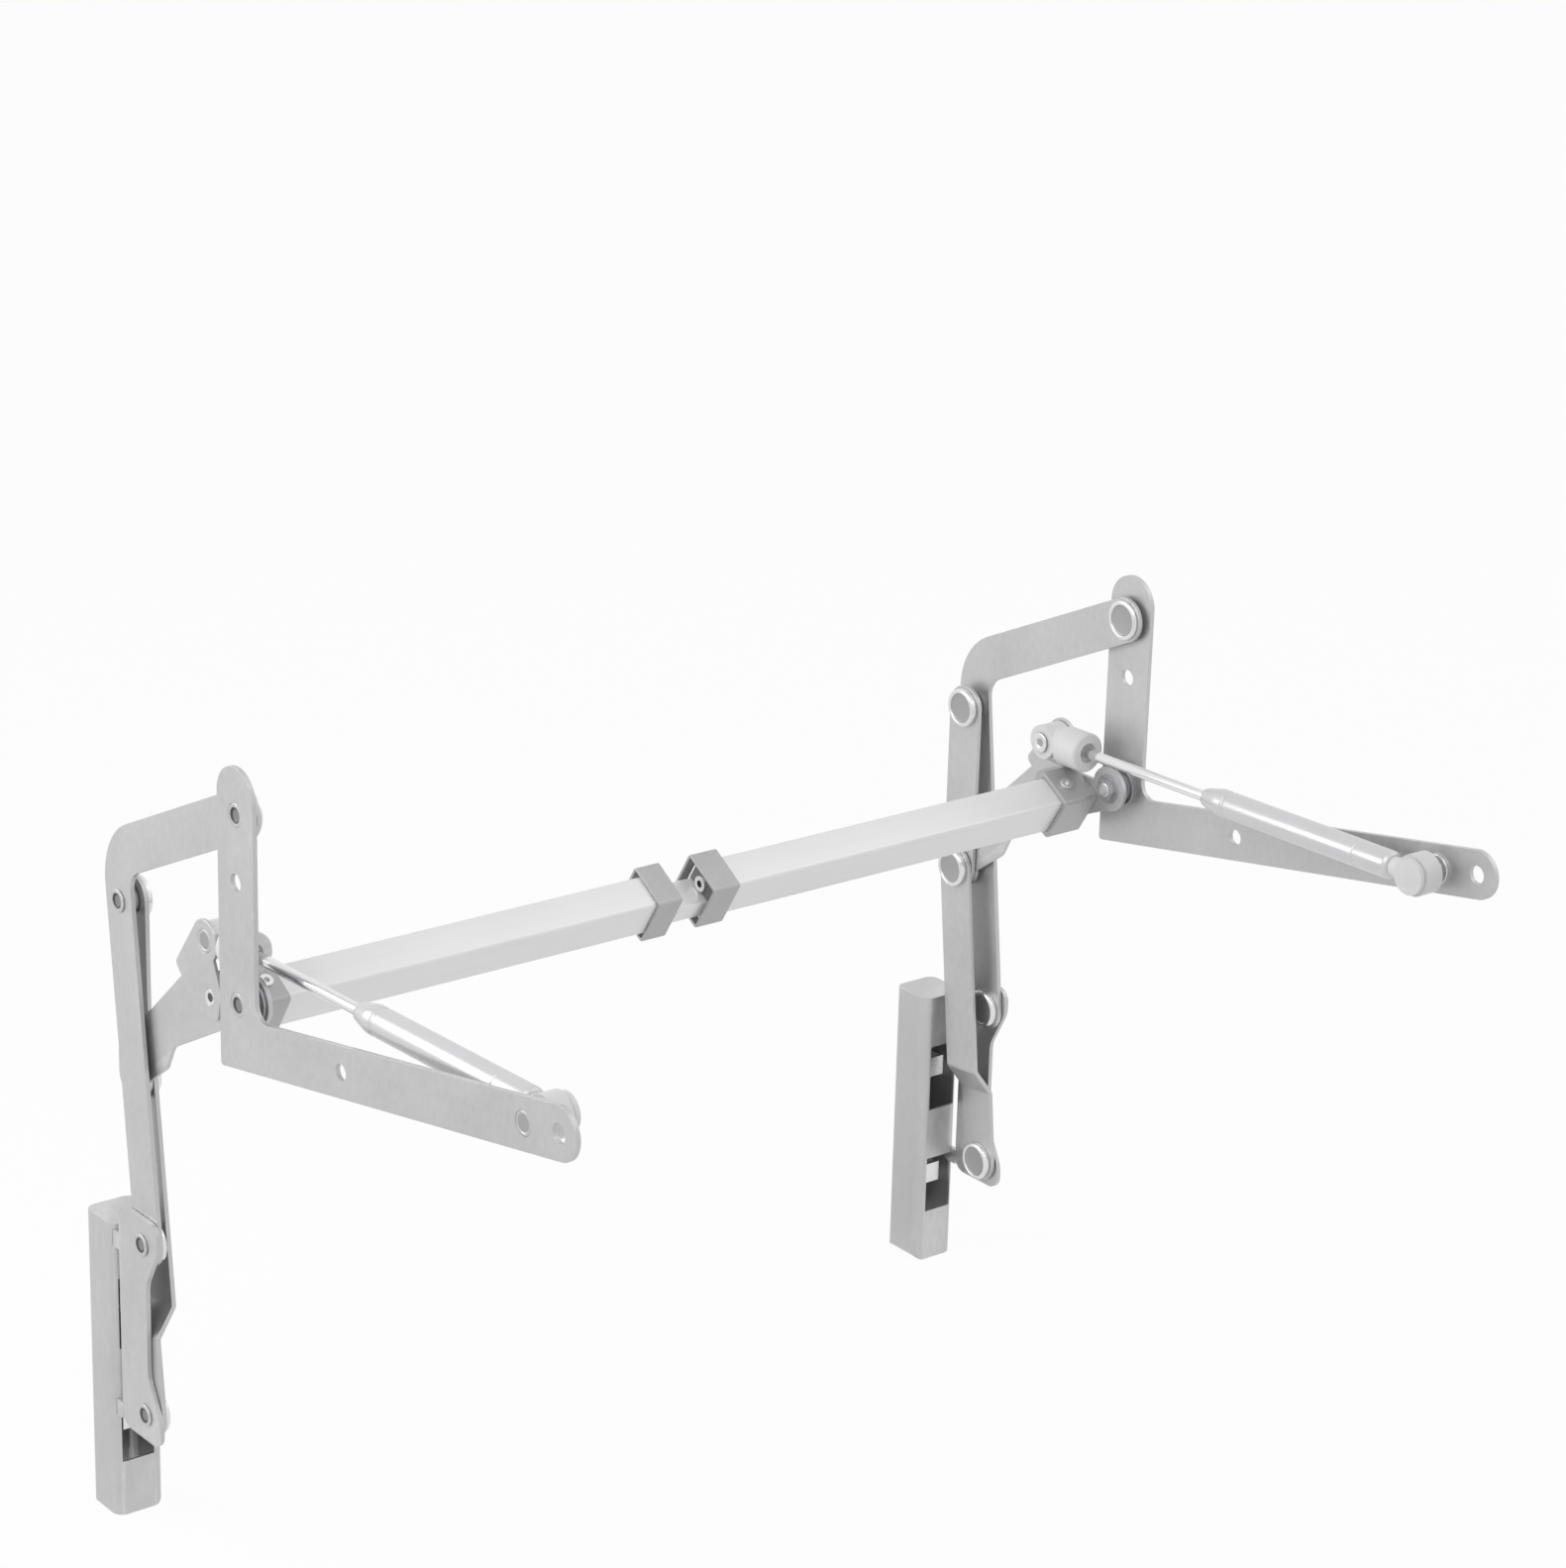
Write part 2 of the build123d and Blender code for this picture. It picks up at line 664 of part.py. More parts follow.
def door_screw_hole(height):
    """Hole for a door screw through the rail's back wall and the slider in it."""
    back = upper_door_pivot[0] - ear_setback - rail_slit - rail_size
    middle = set_width / 2 - rail_depth - rail_size / 2
    hole = Plane(origin=(middle, back, height), x_dir=(1, 0, 0), z_dir=(0, 1, 0)) * Circle(door_screw_radius)
    return extrude(hole, amount=2 * (rail_wall + slider_thickness), dir=(0, 1, 0))


def rail_slider():
    """Flat slider on the rail's back wall, with a hook that is seen behind each window."""
    front = upper_door_pivot[0] - ear_setback - rail_slit
    seat = front - rail_size + rail_wall
    side = rail_bend_radius + slider_play
    start = rail_depth + side
    end = rail_depth + rail_size - side
    middle = rail_depth + rail_size / 2
    windows = rail_windows()
    bottom = windows[-1][1] - slider_margin
    slider = rail_box(start, end, seat, seat + slider_thickness, bottom, windows[0][0] + slider_margin)
    for window_top, window_bottom in windows:
        height = (window_top + window_bottom) / 2
        low = height + hook_rise - hook_height / 2
        web = middle - hook_offset
        tip = front - hook_setback
        high = low + hook_height
        slider += rail_box(web - slider_thickness, web, seat + slider_thickness / 2, tip, low, high)
        slider += rail_box(web - slider_thickness, web + hook_lip, tip - slider_thickness, tip, low, high)
        slider -= door_screw_hole(height - door_screw_drop)
    return slider


def spring_plane():
    """Plane of the spring at its front stud: x along the rod, y toward the other side."""
    angle = math.radians(spring_angle)
    along = Vector(0, math.cos(angle), math.sin(angle))
    origin = Vector(set_width / 2 - spring_depth, *front_stud)
    return Plane(origin=origin, x_dir=along, z_dir=along.cross(Vector(-1, 0, 0)))


def turned(profile):
    """Solid turned about the spring's line from a profile of (along, radius) points."""
    plane = spring_plane()
    face = make_face(Polyline(*profile, close=True))
    return revolve(plane * face, axis=Axis(plane.origin, plane.x_dir), revolution_arc=360)


def spring_point(along):
    """Point of a side's plane at a distance along the spring's line."""
    angle = math.radians(spring_angle)
    return (front_stud[0] + along * math.cos(angle), front_stud[1] + along * math.sin(angle))


def rod_end():
    """Front fitting: a flat round socket on the stud, a neck and the barrel that the rod screws into."""
    outer = spring_depth - socket_thickness / 2
    inner = spring_depth + socket_thickness / 2
    neck = turned([(0, 0), (0, barrel_neck_radius), (barrel_start, barrel_neck_radius), (barrel_start, 0)])
    neck = neck & slab(Pos(*front_stud) * Circle(2 * barrel_start), outer, inner)
    barrel = turned([(barrel_start, 0), (barrel_start, barrel_radius - barrel_edge),
                     (barrel_start + barrel_edge, barrel_radius), (barrel_end - barrel_edge, barrel_radius),
                     (barrel_end, barrel_radius - barrel_edge), (barrel_end, barrel_recess_radius),
                     (barrel_end - barrel_recess_depth, barrel_recess_radius),
                     (barrel_end - barrel_recess_depth, 0)])
    fitting = pin(front_stud, socket_radius, outer, inner) + neck + barrel
    fitting -= pin_hole(front_stud, outer, inner)
    thread_end = barrel_end - barrel_recess_depth - rod_thread_depth
    bore = spring_rod_radius + pin_clearance
    return fitting - turned([(thread_end, 0), (thread_end, bore), (barrel_end, bore), (barrel_end, 0)])


def spring_rod():
    """Polished rod from the front fitting to the piston."""
    start = barrel_end - barrel_recess_depth - rod_thread_depth
    end = tube_front + spring_nose_length + guide_length + piston_length
    return turned([(start, 0), (start, spring_rod_radius), (end, spring_rod_radius), (end, 0)])


def spring_piston():
    """Piston on the rod's end, sealed inside the tube."""
    start = tube_front + spring_nose_length + guide_length
    outer = spring_tube_radius - spring_tube_wall - piston_radius_play
    bore = spring_rod_radius + pin_clearance
    end = start + piston_length
    return turned([(start, bore), (start, outer), (end, outer), (end, bore)])


def spring_tube():
    """Pressure tube with a rolled-in nose and a closed rear end."""
    bore = spring_tube_radius - spring_tube_wall
    nose_bore = spring_rod_radius + 2 * pin_clearance
    nose_end = tube_front + spring_nose_length
    rear = tube_rear - 2 * spring_tube_wall
    return turned([(tube_front, nose_bore), (tube_front, spring_nose_radius), (nose_end, spring_tube_radius),
                   (tube_rear, spring_tube_radius), (tube_rear, 0), (rear, 0), (rear, bore),
                   (nose_end, bore), (nose_end, nose_bore)])


def spring_guide():
    """Guide and seal ring of the rod, seated behind the tube's nose."""
    start = tube_front + spring_nose_length
    end = start + guide_length / 2
    bore = spring_rod_radius + pin_clearance
    outer = spring_tube_radius - spring_tube_wall - pin_clearance
    return turned([(start, bore), (start, outer), (end, outer), (end, bore)])


def tube_end():
    """Rear fitting: a round housing over the rear stud, with a neck onto the tube."""
    centre = spring_point(spring_length)
    start = spring_depth - socket_thickness / 2
    end = spring_depth + socket_thickness / 2
    cap_start = end - tube_end_cap
    housing = pin(centre, tube_end_radius, start, cap_start - tube_end_groove)
    housing += pin(centre, tube_end_groove_radius, cap_start - tube_end_groove, cap_start)
    housing += pin(centre, tube_end_cap_radius, cap_start, end)
    neck = turned([(tube_rear, 0), (tube_rear, tube_end_neck_radius),
                   (spring_length, tube_end_neck_radius), (spring_length, 0)])
    return housing + neck


def along_bar(face, start, end):
    """Solid of a face drawn across the bar, between two X places."""
    plane = Plane(origin=(min(start, end), 0, 0), x_dir=(0, 1, 0), z_dir=(1, 0, 0))
    return extrude(plane * face, amount=abs(end - start), dir=(1, 0, 0))


def bar_bore():
    """Inside width and height of the outer tubes."""
    return bar_across - 2 * bar_wall, bar_tall - 2 * bar_wall


def outer_bar(start, end):
    """Outer tube of the bar."""
    bore_radius = max(bar_corner_radius - bar_wall, bar_corner_radius / 4)
    face = bar_section(bar_across, bar_tall, bar_corner_radius) - bar_section(*bar_bore(), bore_radius)
    return along_bar(face, start, end)


def inner_bar():
    """Low inner tube that slides along the bottom of both outer tubes."""
    across = bar_bore()[0] - 2 * inner_bar_play
    shift = (0.0, inner_bar_play + inner_bar_tall / 2 - bar_bore()[1] / 2)
    bore = (across - 2 * inner_bar_wall, inner_bar_tall - 2 * inner_bar_wall)
    face = bar_section(across, inner_bar_tall, bar_corner_radius / 2, shift)
    face -= bar_section(*bore, bar_corner_radius / 4, shift)
    return along_bar(face, inner_bar_left, inner_bar_right)


def bar_collar(start, end):
    """Collar round a tube's end, close to the tube on two sides and wider on the other two."""
    shift_across = collar_wall + collar_play - (collar_across - bar_across) / 2
    shift_tall = collar_wall + collar_play - (collar_tall - bar_tall) / 2
    shift = (shift_across, shift_tall)
    bore = (collar_across - 2 * collar_wall, collar_tall - 2 * collar_wall)
    face = bar_section(collar_across, collar_tall, bar_corner_radius, shift)
    face -= bar_section(*bore, bar_corner_radius / 2, shift)
    return along_bar(face, start, end)


def bar_clamp(mouth, way):
    """Clamping block above the inner tube and its screw, at a tube's mouth that looks along X by way."""
    across = bar_bore()[0] - 2 * inner_bar_play
    room = bar_bore()[1] - inner_bar_play - inner_bar_tall
    shift = (0.0, (bar_bore()[1] - room) / 2)
    back = mouth - way * clamp_length
    block = along_bar(bar_section(across, room - 2 * clamp_play, bar_corner_radius / 2, shift), back, mouth)
    spot = Pos(bar_y, bar_z) * Rot(0, 0, bar_turn) * Pos(*shift)
    block -= along_bar(spot * Circle(clamp_shank_radius + pin_clearance), back, mouth)
    tip = mouth + way * clamp_head_height
    screw = along_bar(spot * Circle(clamp_shank_radius), back, mouth)
    screw += along_bar(spot * Circle(clamp_head_radius), mouth, tip)
    socket = spot * RegularPolygon(clamp_head_radius / 2, 6)
    screw -= along_bar(socket, mouth + way * clamp_head_height / 3, tip)
    return [block, screw]


def bar_pieces():
    """Both outer tubes, the inner tube that slides in them, and a collar and clamp at each mouth."""
    end = set_width / 2 - bracket_layer - sheet
    right_mouth = right_collar_inner + collar_overhang
    left_mouth = left_collar_inner - collar_overhang
    return {
        "bar_tube_right": outer_bar(right_mouth, end),
        "bar_tube_left": outer_bar(left_mouth, -end),
        "bar_inner_tube": inner_bar(),
        "bar_collar_right": bar_collar(right_collar_inner, right_collar_outer),
        "bar_collar_left": bar_collar(left_collar_inner, left_collar_outer),
        "bar_clamps": bar_clamp(right_mouth, -1) + bar_clamp(left_mouth, 1),
    }


def side_pieces():
    """Every sub-part of the right side."""
    return {
        "side_plate": side_plate(),
        "plate_pivots": plate_pivots(),
        "pivot_nut": pivot_nut(),
        "plate_spacers": plate_spacers(),
        "bent_arm": bent_arm(),
        "elbow_rivet": elbow_rivet(),
        "elbow_spacer": elbow_spacer(),
        "lower_arm": lower_arm(),
        "spring_plate": spring_plate(),
        "bar_bracket": bar_bracket(),
        "bracket_fixings": bracket_fixings(),
        "knee_rivet": knee_rivet(),
        "knee_washers": knee_washers(),
        "spring_front_stud": spring_front_stud(),
        "upper_link": upper_link(),
        "door_link": door_link(),
        "door_ear": door_ear(),
        "door_rivets": door_rivets(),
        "door_washers": door_washers(),
        "door_rail": door_rail(),
        "rail_slider": rail_slider(),
        "rod_end": rod_end(),
        "spring_rod": spring_rod(),
        "spring_piston": spring_piston(),
        "spring_tube": spring_tube(),
        "spring_guide": spring_guide(),
        "tube_end": tube_end(),
    }


def write_node(name, shape):
    """Write one sub-part, its separate solids kept apart in one file."""
    solids = [solid for item in (shape if isinstance(shape, list) else [shape]) for solid in item.solids()]
    body = solids[0] if len(solids) == 1 else Compound(children=solids)
    export_step(body, f"parts/{name}.step")


for name, shape in side_pieces().items():
    items = shape if isinstance(shape, list) else [shape]
    write_node(f"right_{name}", items)
    write_node(f"left_{name}", [mirror(item, about=Plane.YZ) for item in items])
for name, shape in bar_pieces().items():
    write_node(name, shape)
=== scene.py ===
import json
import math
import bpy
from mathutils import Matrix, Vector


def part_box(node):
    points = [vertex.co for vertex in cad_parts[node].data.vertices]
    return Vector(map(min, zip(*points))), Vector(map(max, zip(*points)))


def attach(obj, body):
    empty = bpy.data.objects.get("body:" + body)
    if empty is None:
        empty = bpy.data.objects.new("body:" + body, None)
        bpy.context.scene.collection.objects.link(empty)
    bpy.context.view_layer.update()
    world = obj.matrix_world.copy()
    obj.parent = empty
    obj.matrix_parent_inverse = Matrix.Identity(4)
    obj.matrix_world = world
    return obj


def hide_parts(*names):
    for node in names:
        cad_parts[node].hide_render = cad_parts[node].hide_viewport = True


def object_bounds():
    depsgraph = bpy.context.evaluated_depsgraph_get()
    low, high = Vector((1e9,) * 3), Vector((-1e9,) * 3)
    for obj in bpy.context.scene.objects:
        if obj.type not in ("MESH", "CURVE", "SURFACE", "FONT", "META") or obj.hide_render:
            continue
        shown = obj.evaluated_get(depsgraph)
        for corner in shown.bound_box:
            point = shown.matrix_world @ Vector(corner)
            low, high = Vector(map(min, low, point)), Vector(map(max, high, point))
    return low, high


bl_info = {
    "name": "Lift-up Cabinet Hinge",
    "version": (1, 0, 0),
    "blender": (4, 5, 0),
    "location": "3D View > Sidebar > Hinge",
    "description": "Finishes the packed lift-up cabinet hinge in plated steel, aluminium, chrome and nylon",
    "category": "Object",
}

import bmesh
import bpy
from bpy.props import FloatProperty, FloatVectorProperty, IntProperty, PointerProperty
from bpy.types import Operator, Panel, PropertyGroup
from mathutils import Matrix, Vector

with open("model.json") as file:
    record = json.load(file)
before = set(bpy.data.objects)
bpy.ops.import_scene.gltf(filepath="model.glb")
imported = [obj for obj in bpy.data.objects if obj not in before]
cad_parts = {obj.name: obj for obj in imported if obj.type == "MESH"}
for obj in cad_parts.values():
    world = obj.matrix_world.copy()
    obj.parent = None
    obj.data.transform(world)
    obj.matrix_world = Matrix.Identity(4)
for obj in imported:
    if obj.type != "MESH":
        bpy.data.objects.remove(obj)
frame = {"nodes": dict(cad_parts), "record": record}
MM = 0.001
SIDES = (("right", 1.0), ("left", -1.0))
JOINTS = {joint["name"]: joint for joint in frame["record"]["behaviour"]["joints"]}
BODY_OF = {node: body for body, nodes in frame["record"]["behaviour"]["bodies"].items() for node in nodes}
SLOT_OF = {part["node"]: part["material_slot"] for part in frame["record"]["subparts"]}
START_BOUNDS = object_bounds()
SHARP_SHEET = math.radians(30)
SHARP_TURNED = math.radians(35)
CLOSE = 0.1 * MM
WHITE = (1.0, 1.0, 1.0, 1.0)


def length(name, description, default):
    """Distance property in metres."""
    return FloatProperty(name=name, description=description, default=default, min=0.0, subtype="DISTANCE",
                         unit="LENGTH")


def colour(name, description, default):
    """Colour property in linear values."""
    return FloatVectorProperty(name=name, description=description, default=default, size=3, min=0.0, max=1.0,
                               subtype="COLOR")


def factor(name, description, default):
    """Plain number from 0 to 1."""
    return FloatProperty(name=name, description=description, default=default, min=0.0, max=1.0, subtype="FACTOR")


def angle(name, description, default):
    """Angle property in radians."""
    return FloatProperty(name=name, description=description, default=default, subtype="ANGLE", unit="ROTATION")


def strength(name, description, default):
    """Plain number from 0 up."""
    return FloatProperty(name=name, description=description, default=default, min=0.0)


class HingeFinish(PropertyGroup):
    zinc: colour("Zinc plate", "Colour of the plated sheet steel", (0.53, 0.53, 0.535))
    zinc_edge: colour("Cut edge", "Colour where the plating is rubbed bright along an edge", (0.80, 0.80, 0.805))
    rail: colour("Door rail", "Colour of the folded rails", (0.52, 0.52, 0.525))
    rivet: colour("Rivets", "Colour of the turned rivets and studs", (0.74, 0.74, 0.745))
    bar: colour("Cross bar", "Colour of the drawn outer tubes", (0.83, 0.83, 0.835))
    small: colour("Small steel", "Colour of washers, sleeves, nuts and sliders", (0.40, 0.40, 0.41))
    bracket: colour("Brackets", "Colour of the collars and of the bar's sockets", (0.44, 0.44, 0.445))
    spring: colour("Spring tube", "Colour of the gas spring's painted tube", (0.66, 0.66, 0.67))
    rod: colour("Spring rod", "Colour of the polished rod", (0.78, 0.78, 0.79))
    nylon: colour("Nylon", "Colour of the moulded ends of the spring", (0.80, 0.80, 0.80))
    recess: colour("Head recess", "Colour of the dull recess in a rivet head", (0.40, 0.40, 0.405))
    # The hollow and hollow floor colours are painted shade: near-black and dark grey stand in for the shade inside
    # a rivet's shallow hollow.
    hollow: colour("Hollow", "Colour of the wall of the hollow in a rivet foot", (0.09, 0.09, 0.095))
    hollow_floor_shade: colour("Hollow floor", "Colour of the floor of the hollow in a rivet foot", (0.27, 0.27, 0.275))
    clamp: colour("Clamp", "Colour of the dark clamping blocks", (0.16, 0.16, 0.165))
    sheet_roughness: factor("Sheet roughness", "Roughness of the plated sheet", 0.42)
    wear: factor("Edge wear", "How bright the rubbed edges are", 0.6)


class HingeShapes(PropertyGroup):
    sheet_edge: length("Sheet edge", "Rounding of the stamped sheet edges", 0.35 * MM)
    tube_edge: length("Tube edge", "Rounding of the sawn tube ends and of small cut pieces", 0.25 * MM)
    collar_edge: length("Collar edge", "Rounding of the bar's folded collars", 0.5 * MM)
    bracket_edge: length("Bracket edge", "Rounding of the bar's formed brackets", 0.4 * MM)
    moulded_edge: length("Moulded edge", "Rounding of the spring's moulded ends", 0.6 * MM)
    turned_edge: length("Turned edge", "Rounding of the edges of turned pieces", 0.45 * MM)
    head: length("Head", "Radius of the rivets' heads", 11.0 * MM)
    head_height: length("Head height", "Height of the links' rivet heads", 3.5 * MM)
    pivot_head_height: length("Pivot head height", "Height of the head on the plate's upper pivot", 2.0 * MM)
    head_rim: length("Head rim", "Width of the raised rim of a rivet head", 2.3 * MM)
    head_dish: length("Head dish", "Depth of the recess in a rivet head", 0.9 * MM)
    shank: length("Shank", "Radius of the rivets' shanks", 4.0 * MM)
    foot: length("Foot", "Radius of the rivets' feet", 6.0 * MM)
    foot_height: length("Foot height", "Height of the rivets' feet", 1.2 * MM)
    hollow: length("Hollow", "Radius of the hollow in a rivet's foot", 4.2 * MM)
    hollow_depth: length("Hollow depth", "Depth of the hollow in a rivet's foot", 0.9 * MM)
    hollow_slope: length("Hollow slope", "Width of the sloping wall of the hollow", 1.5 * MM)
    stud_dish: length("Stud dish", "Radius of the shallow dish in a stud's foot", 4.2 * MM)
    stud_dish_depth: length("Stud dish depth", "Depth of the shallow dish in a stud's foot", 0.3 * MM)
    stud_dish_slope: length("Stud dish slope", "Width of the slope round a stud's dish", 0.4 * MM)
    stud_gap: length("Stud gap", "Gap between the rear stud and the spring's fitting", 0.3 * MM)
    stud_neck: length("Stud neck", "Radius of the rear stud", 5.0 * MM)
    collar: length("Stud collar", "Radius of the collar that holds the rear stud on its plate", 8.0 * MM)
    collar_start: length("Collar start", "Depth of the collar's near face behind the plate's outer face", 2.5 * MM)
    collar_end: length("Collar end", "Depth of the collar's far face behind the plate's outer face", 4.1 * MM)
    button: length("Button", "Radius of the front stud's button", 5.5 * MM)
    button_height: length("Button height", "Height of the front stud's button", 1.5 * MM)
    button_dish: length("Button dish", "Radius of the dish in the button", 3.0 * MM)
    button_dish_depth: length("Button dish depth", "Depth of the dish in the button", 0.5 * MM)
    button_dish_slope: length("Button dish slope", "Width of the slope round the button's dish", 0.6 * MM)
    sleeve: length("Sleeve", "Radius of the elbow's spacer sleeve", 8.0 * MM)
    washer: length("Washer", "Radius of the door pivots' washers", 8.5 * MM)
    play: length("Play", "Play of washers and sleeves on their shanks", 0.05 * MM)
    spacer_edge: length("Spacer edge", "Rounding of flanged sleeves and nuts", 0.3 * MM)
    thin_edge: length("Thin edge", "Rounding of the thin washers at the knee", 0.1 * MM)
    strip: length("Slider strip", "Thickness of the slider behind its hooks", 1.6 * MM)
    around: IntProperty(name="Segments", description="Faces around a turned piece", default=56, min=12, max=128)


class HingeSpring(PropertyGroup):
    tail: length("Tail", "Distance of the tube's end from the rear pivot", 16.0 * MM)
    tube: length("Tube length", "Length of the pressure tube", 140.0 * MM)
    radius: length("Tube radius", "Outer radius of the pressure tube", 7.5 * MM)
    wall: length("Tube wall", "Wall of the pressure tube", 1.2 * MM)
    floor: length("Tube floor", "Thickness of the closed end of the tube", 2.4 * MM)
    nose: length("Nose", "Length of the rolled nose", 12.0 * MM)
    mouth: length("Mouth", "Radius of the nose at its tip", 4.6 * MM)
    bore: length("Bore", "Radius of the rod's hole in the nose", 3.1 * MM)
    throat: length("Throat", "Radius of the nose just behind its tip", 5.4 * MM)
    throat_place: length("Throat place", "Distance of the throat from the tip", 2.0 * MM)
    swell: length("Swell", "Radius of the nose halfway", 6.2 * MM)
    swell_place: length("Swell place", "Distance of the swell from the tip", 6.0 * MM)
    groove: length("Groove", "Depth of the rolled groove behind the nose", 0.5 * MM)
    groove_start: length("Groove start", "Distance of the groove from the nose", 5.0 * MM)
    groove_step: length("Groove step", "Length of the groove, and of each slope beside it", 1.0 * MM)
    seam: length("Seam", "Depth of the fine seam near the tube's end", 0.35 * MM)
    seam_place: length("Seam place", "Distance of the seam from the tube's end", 24.0 * MM)
    seam_half: length("Seam half", "Half the width of the seam's floor", 0.3 * MM)
    end_draw: length("End draw", "How far the tube's end draws in", 1.6 * MM)
    end_slope: length("End slope", "Length over which the tube's end draws in", 2.0 * MM)
    roll_edge: length("Roll edge", "Reach of the soft turns in the tube's outline", 1.2 * MM)
    ring_edge: length("Ring edge", "Rounding of the guide ring and of the piston", 0.2 * MM)
    rod_edge: length("Rod edge", "Rounding of the rod's ends", 0.3 * MM)
    rod: length("Rod", "Radius of the rod", 3.0 * MM)
    rod_start: length("Rod start", "Distance of the rod's start from the front pivot", 18.5 * MM)
    rod_inside: length("Rod inside", "Length of the rod inside the tube", 33.0 * MM)


class HingeBar(PropertyGroup):
    across: length("Bar width", "Width of the outer tube's upper face", 20.0 * MM)
    tall: length("Bar height", "Height of the outer tube square to its upper face", 24.0 * MM)
    wall: length("Bar wall", "Wall of the outer tube", 1.2 * MM)
    corner: length("Bar corner", "Rounding of the outer tube's corners", 2.0 * MM)
    inner_tall: length("Inner height", "Height of the inner tube", 12.0 * MM)
    inner_play: length("Inner play", "Play of the inner tube in the outer tube", 0.2 * MM)
    inner_wall: length("Inner wall", "Wall of the inner tube", 1.5 * MM)
    inner_corner: length("Inner corner", "Rounding of the inner tube's corners", 1.0 * MM)
    screw_reach: length("Screw reach", "Largest width of a clamping screw", 10.0 * MM)
    screw_socket: length("Screw socket", "Radius that holds the socket of a clamping screw", 2.3 * MM)
    rivet_ring: length("Rivet ring", "Width of the bright ring on the bracket's rivet", 1.9 * MM)
    rivet_sink: length("Rivet sink", "Depth of the hollow in the bracket's rivet", 0.5 * MM)
    turn: angle("Bar turn", "Turn of the bar about its own length", math.radians(-31.5))


class HingeStage(PropertyGroup):
    lens: FloatProperty(name="Lens", description="Focal length of the camera in millimetres", default=102.8,
                        min=20.0, max=300.0)
    place: FloatVectorProperty(name="Camera place", description="Place of the camera", size=3, subtype="XYZ",
                               unit="LENGTH", default=(1.30128, 1.70099, 0.81671))
    azimuth: angle("Azimuth", "Compass direction of the view", math.radians(38.335))
    elevation: angle("Elevation", "Downward tilt of the view", math.radians(19.53))
    roll: angle("Roll", "Roll of the camera", math.radians(1.613))
    floor: colour("Floor", "Colour of the floor", (0.86, 0.86, 0.86))
    whiteness: factor("Whiteness", "How far the floor shows as plain white to the camera", 0.95)
    floor_size: length("Floor size", "Length of the floor's side", 30.0)
    floor_drop: length("Floor drop", "Distance of the floor below the hinge", 0.5 * MM)
    key_power: strength("Key light", "Power of the main softbox in watts", 26.0)
    back_power: strength("Back light", "Power of the second softbox in watts", 7.0)
    side_power: strength("Side light", "Power of the near unit's softbox in watts", 4.6)
    ambient: strength("Ambient", "Strength of the light from all round", 0.48)


def finish():
    """Colours and roughness of the finishes."""
    return bpy.context.scene.hinge_finish


def shapes():
    """Sizes of rounded edges, rivets and studs."""
    return bpy.context.scene.hinge_shapes


# Materials

def plug(tree, value, socket):
    """Link a value to an input if it is a socket, or else set it there."""
    if isinstance(value, bpy.types.NodeSocket):
        tree.links.new(value, socket)
    else:
        socket.default_value = value


def feed(tree, node, **values):
    """Plug values into a node's named inputs; an underscore in a name stands for a space."""
    for name, value in values.items():
        plug(tree, value, node.inputs[name.replace("_", " ")])
    return node


def fresh(tree, kind, **values):
    """New node with the given values in its inputs."""
    return feed(tree, tree.nodes.new(kind), **values)


def maths(tree, operation, first, second):
    """Output of a math node on two values, each a socket or a number."""
    node = tree.nodes.new("ShaderNodeMath")
    node.operation = operation
    plug(tree, first, node.inputs[0])
    plug(tree, second, node.inputs[1])
    return node.outputs["Value"]


def blend(tree, share, first, second):
    """Colour between two colours, each a socket or a value, by a share."""
    mix = tree.nodes.new("ShaderNodeMix")
    mix.data_type = "RGBA"
    feed(tree, mix, Factor=share, A=first, B=second)
    return mix.outputs["Result"]


def surface(name, base, metallic, roughness, grain=60.0, stretch=(1.0, 1.0, 1.0), tint=0.06, relief=0.03,
            rough_spread=0.06, edge=None, edge_share=0.0, coat=0.0):
    """Metal, paint or plastic with grain, uneven gloss, a fine relief and rubbed edges."""
    material = bpy.data.materials.new(name)
    material.use_nodes = True
    material.diffuse_color = (*base, 1.0)
    tree = material.node_tree
    shader = tree.nodes["Principled BSDF"]
    if coat:
        feed(tree, shader, Coat_Weight=coat, Coat_Roughness=0.15)
    place = tree.nodes.new("ShaderNodeTexCoord").outputs["Object"]
    mapping = fresh(tree, "ShaderNodeMapping", Vector=place, Scale=stretch)
    fine = fresh(tree, "ShaderNodeTexNoise", Vector=mapping.outputs["Vector"], Scale=grain * 12, Detail=5.0,
                 Roughness=0.6)
    broad = fresh(tree, "ShaderNodeTexNoise", Vector=place, Scale=grain, Detail=3.0)
    both = maths(tree, "ADD", fine.outputs["Fac"], broad.outputs["Fac"])
    spread = {"Value": both, "From_Min": 0.6, "From_Max": 1.4}
    shade = fresh(tree, "ShaderNodeMapRange", To_Min=0.0, To_Max=1.0, **spread).outputs["Result"]
    result = blend(tree, shade, (*[channel * (1 - tint) for channel in base], 1.0),
                   (*[min(channel * (1 + tint), 1.0) for channel in base], 1.0))
    if edge is not None:
        geometry = tree.nodes.new("ShaderNodeNewGeometry")
        wear = fresh(tree, "ShaderNodeMapRange", Value=geometry.outputs["Pointiness"], From_Min=0.51,
                     From_Max=0.60, To_Max=edge_share)
        result = blend(tree, maths(tree, "MULTIPLY", wear.outputs["Result"], shade), result, (*edge, 1.0))
    gloss = fresh(tree, "ShaderNodeMapRange", To_Min=roughness - rough_spread, To_Max=roughness + rough_spread,
                  **spread)
    bump = fresh(tree, "ShaderNodeBump", Height=fine.outputs["Fac"], Strength=0.35, Distance=relief * MM)
    feed(tree, shader, Base_Color=result, Metallic=metallic, Roughness=gloss.outputs["Result"],
         Normal=bump.outputs["Normal"])
    return material


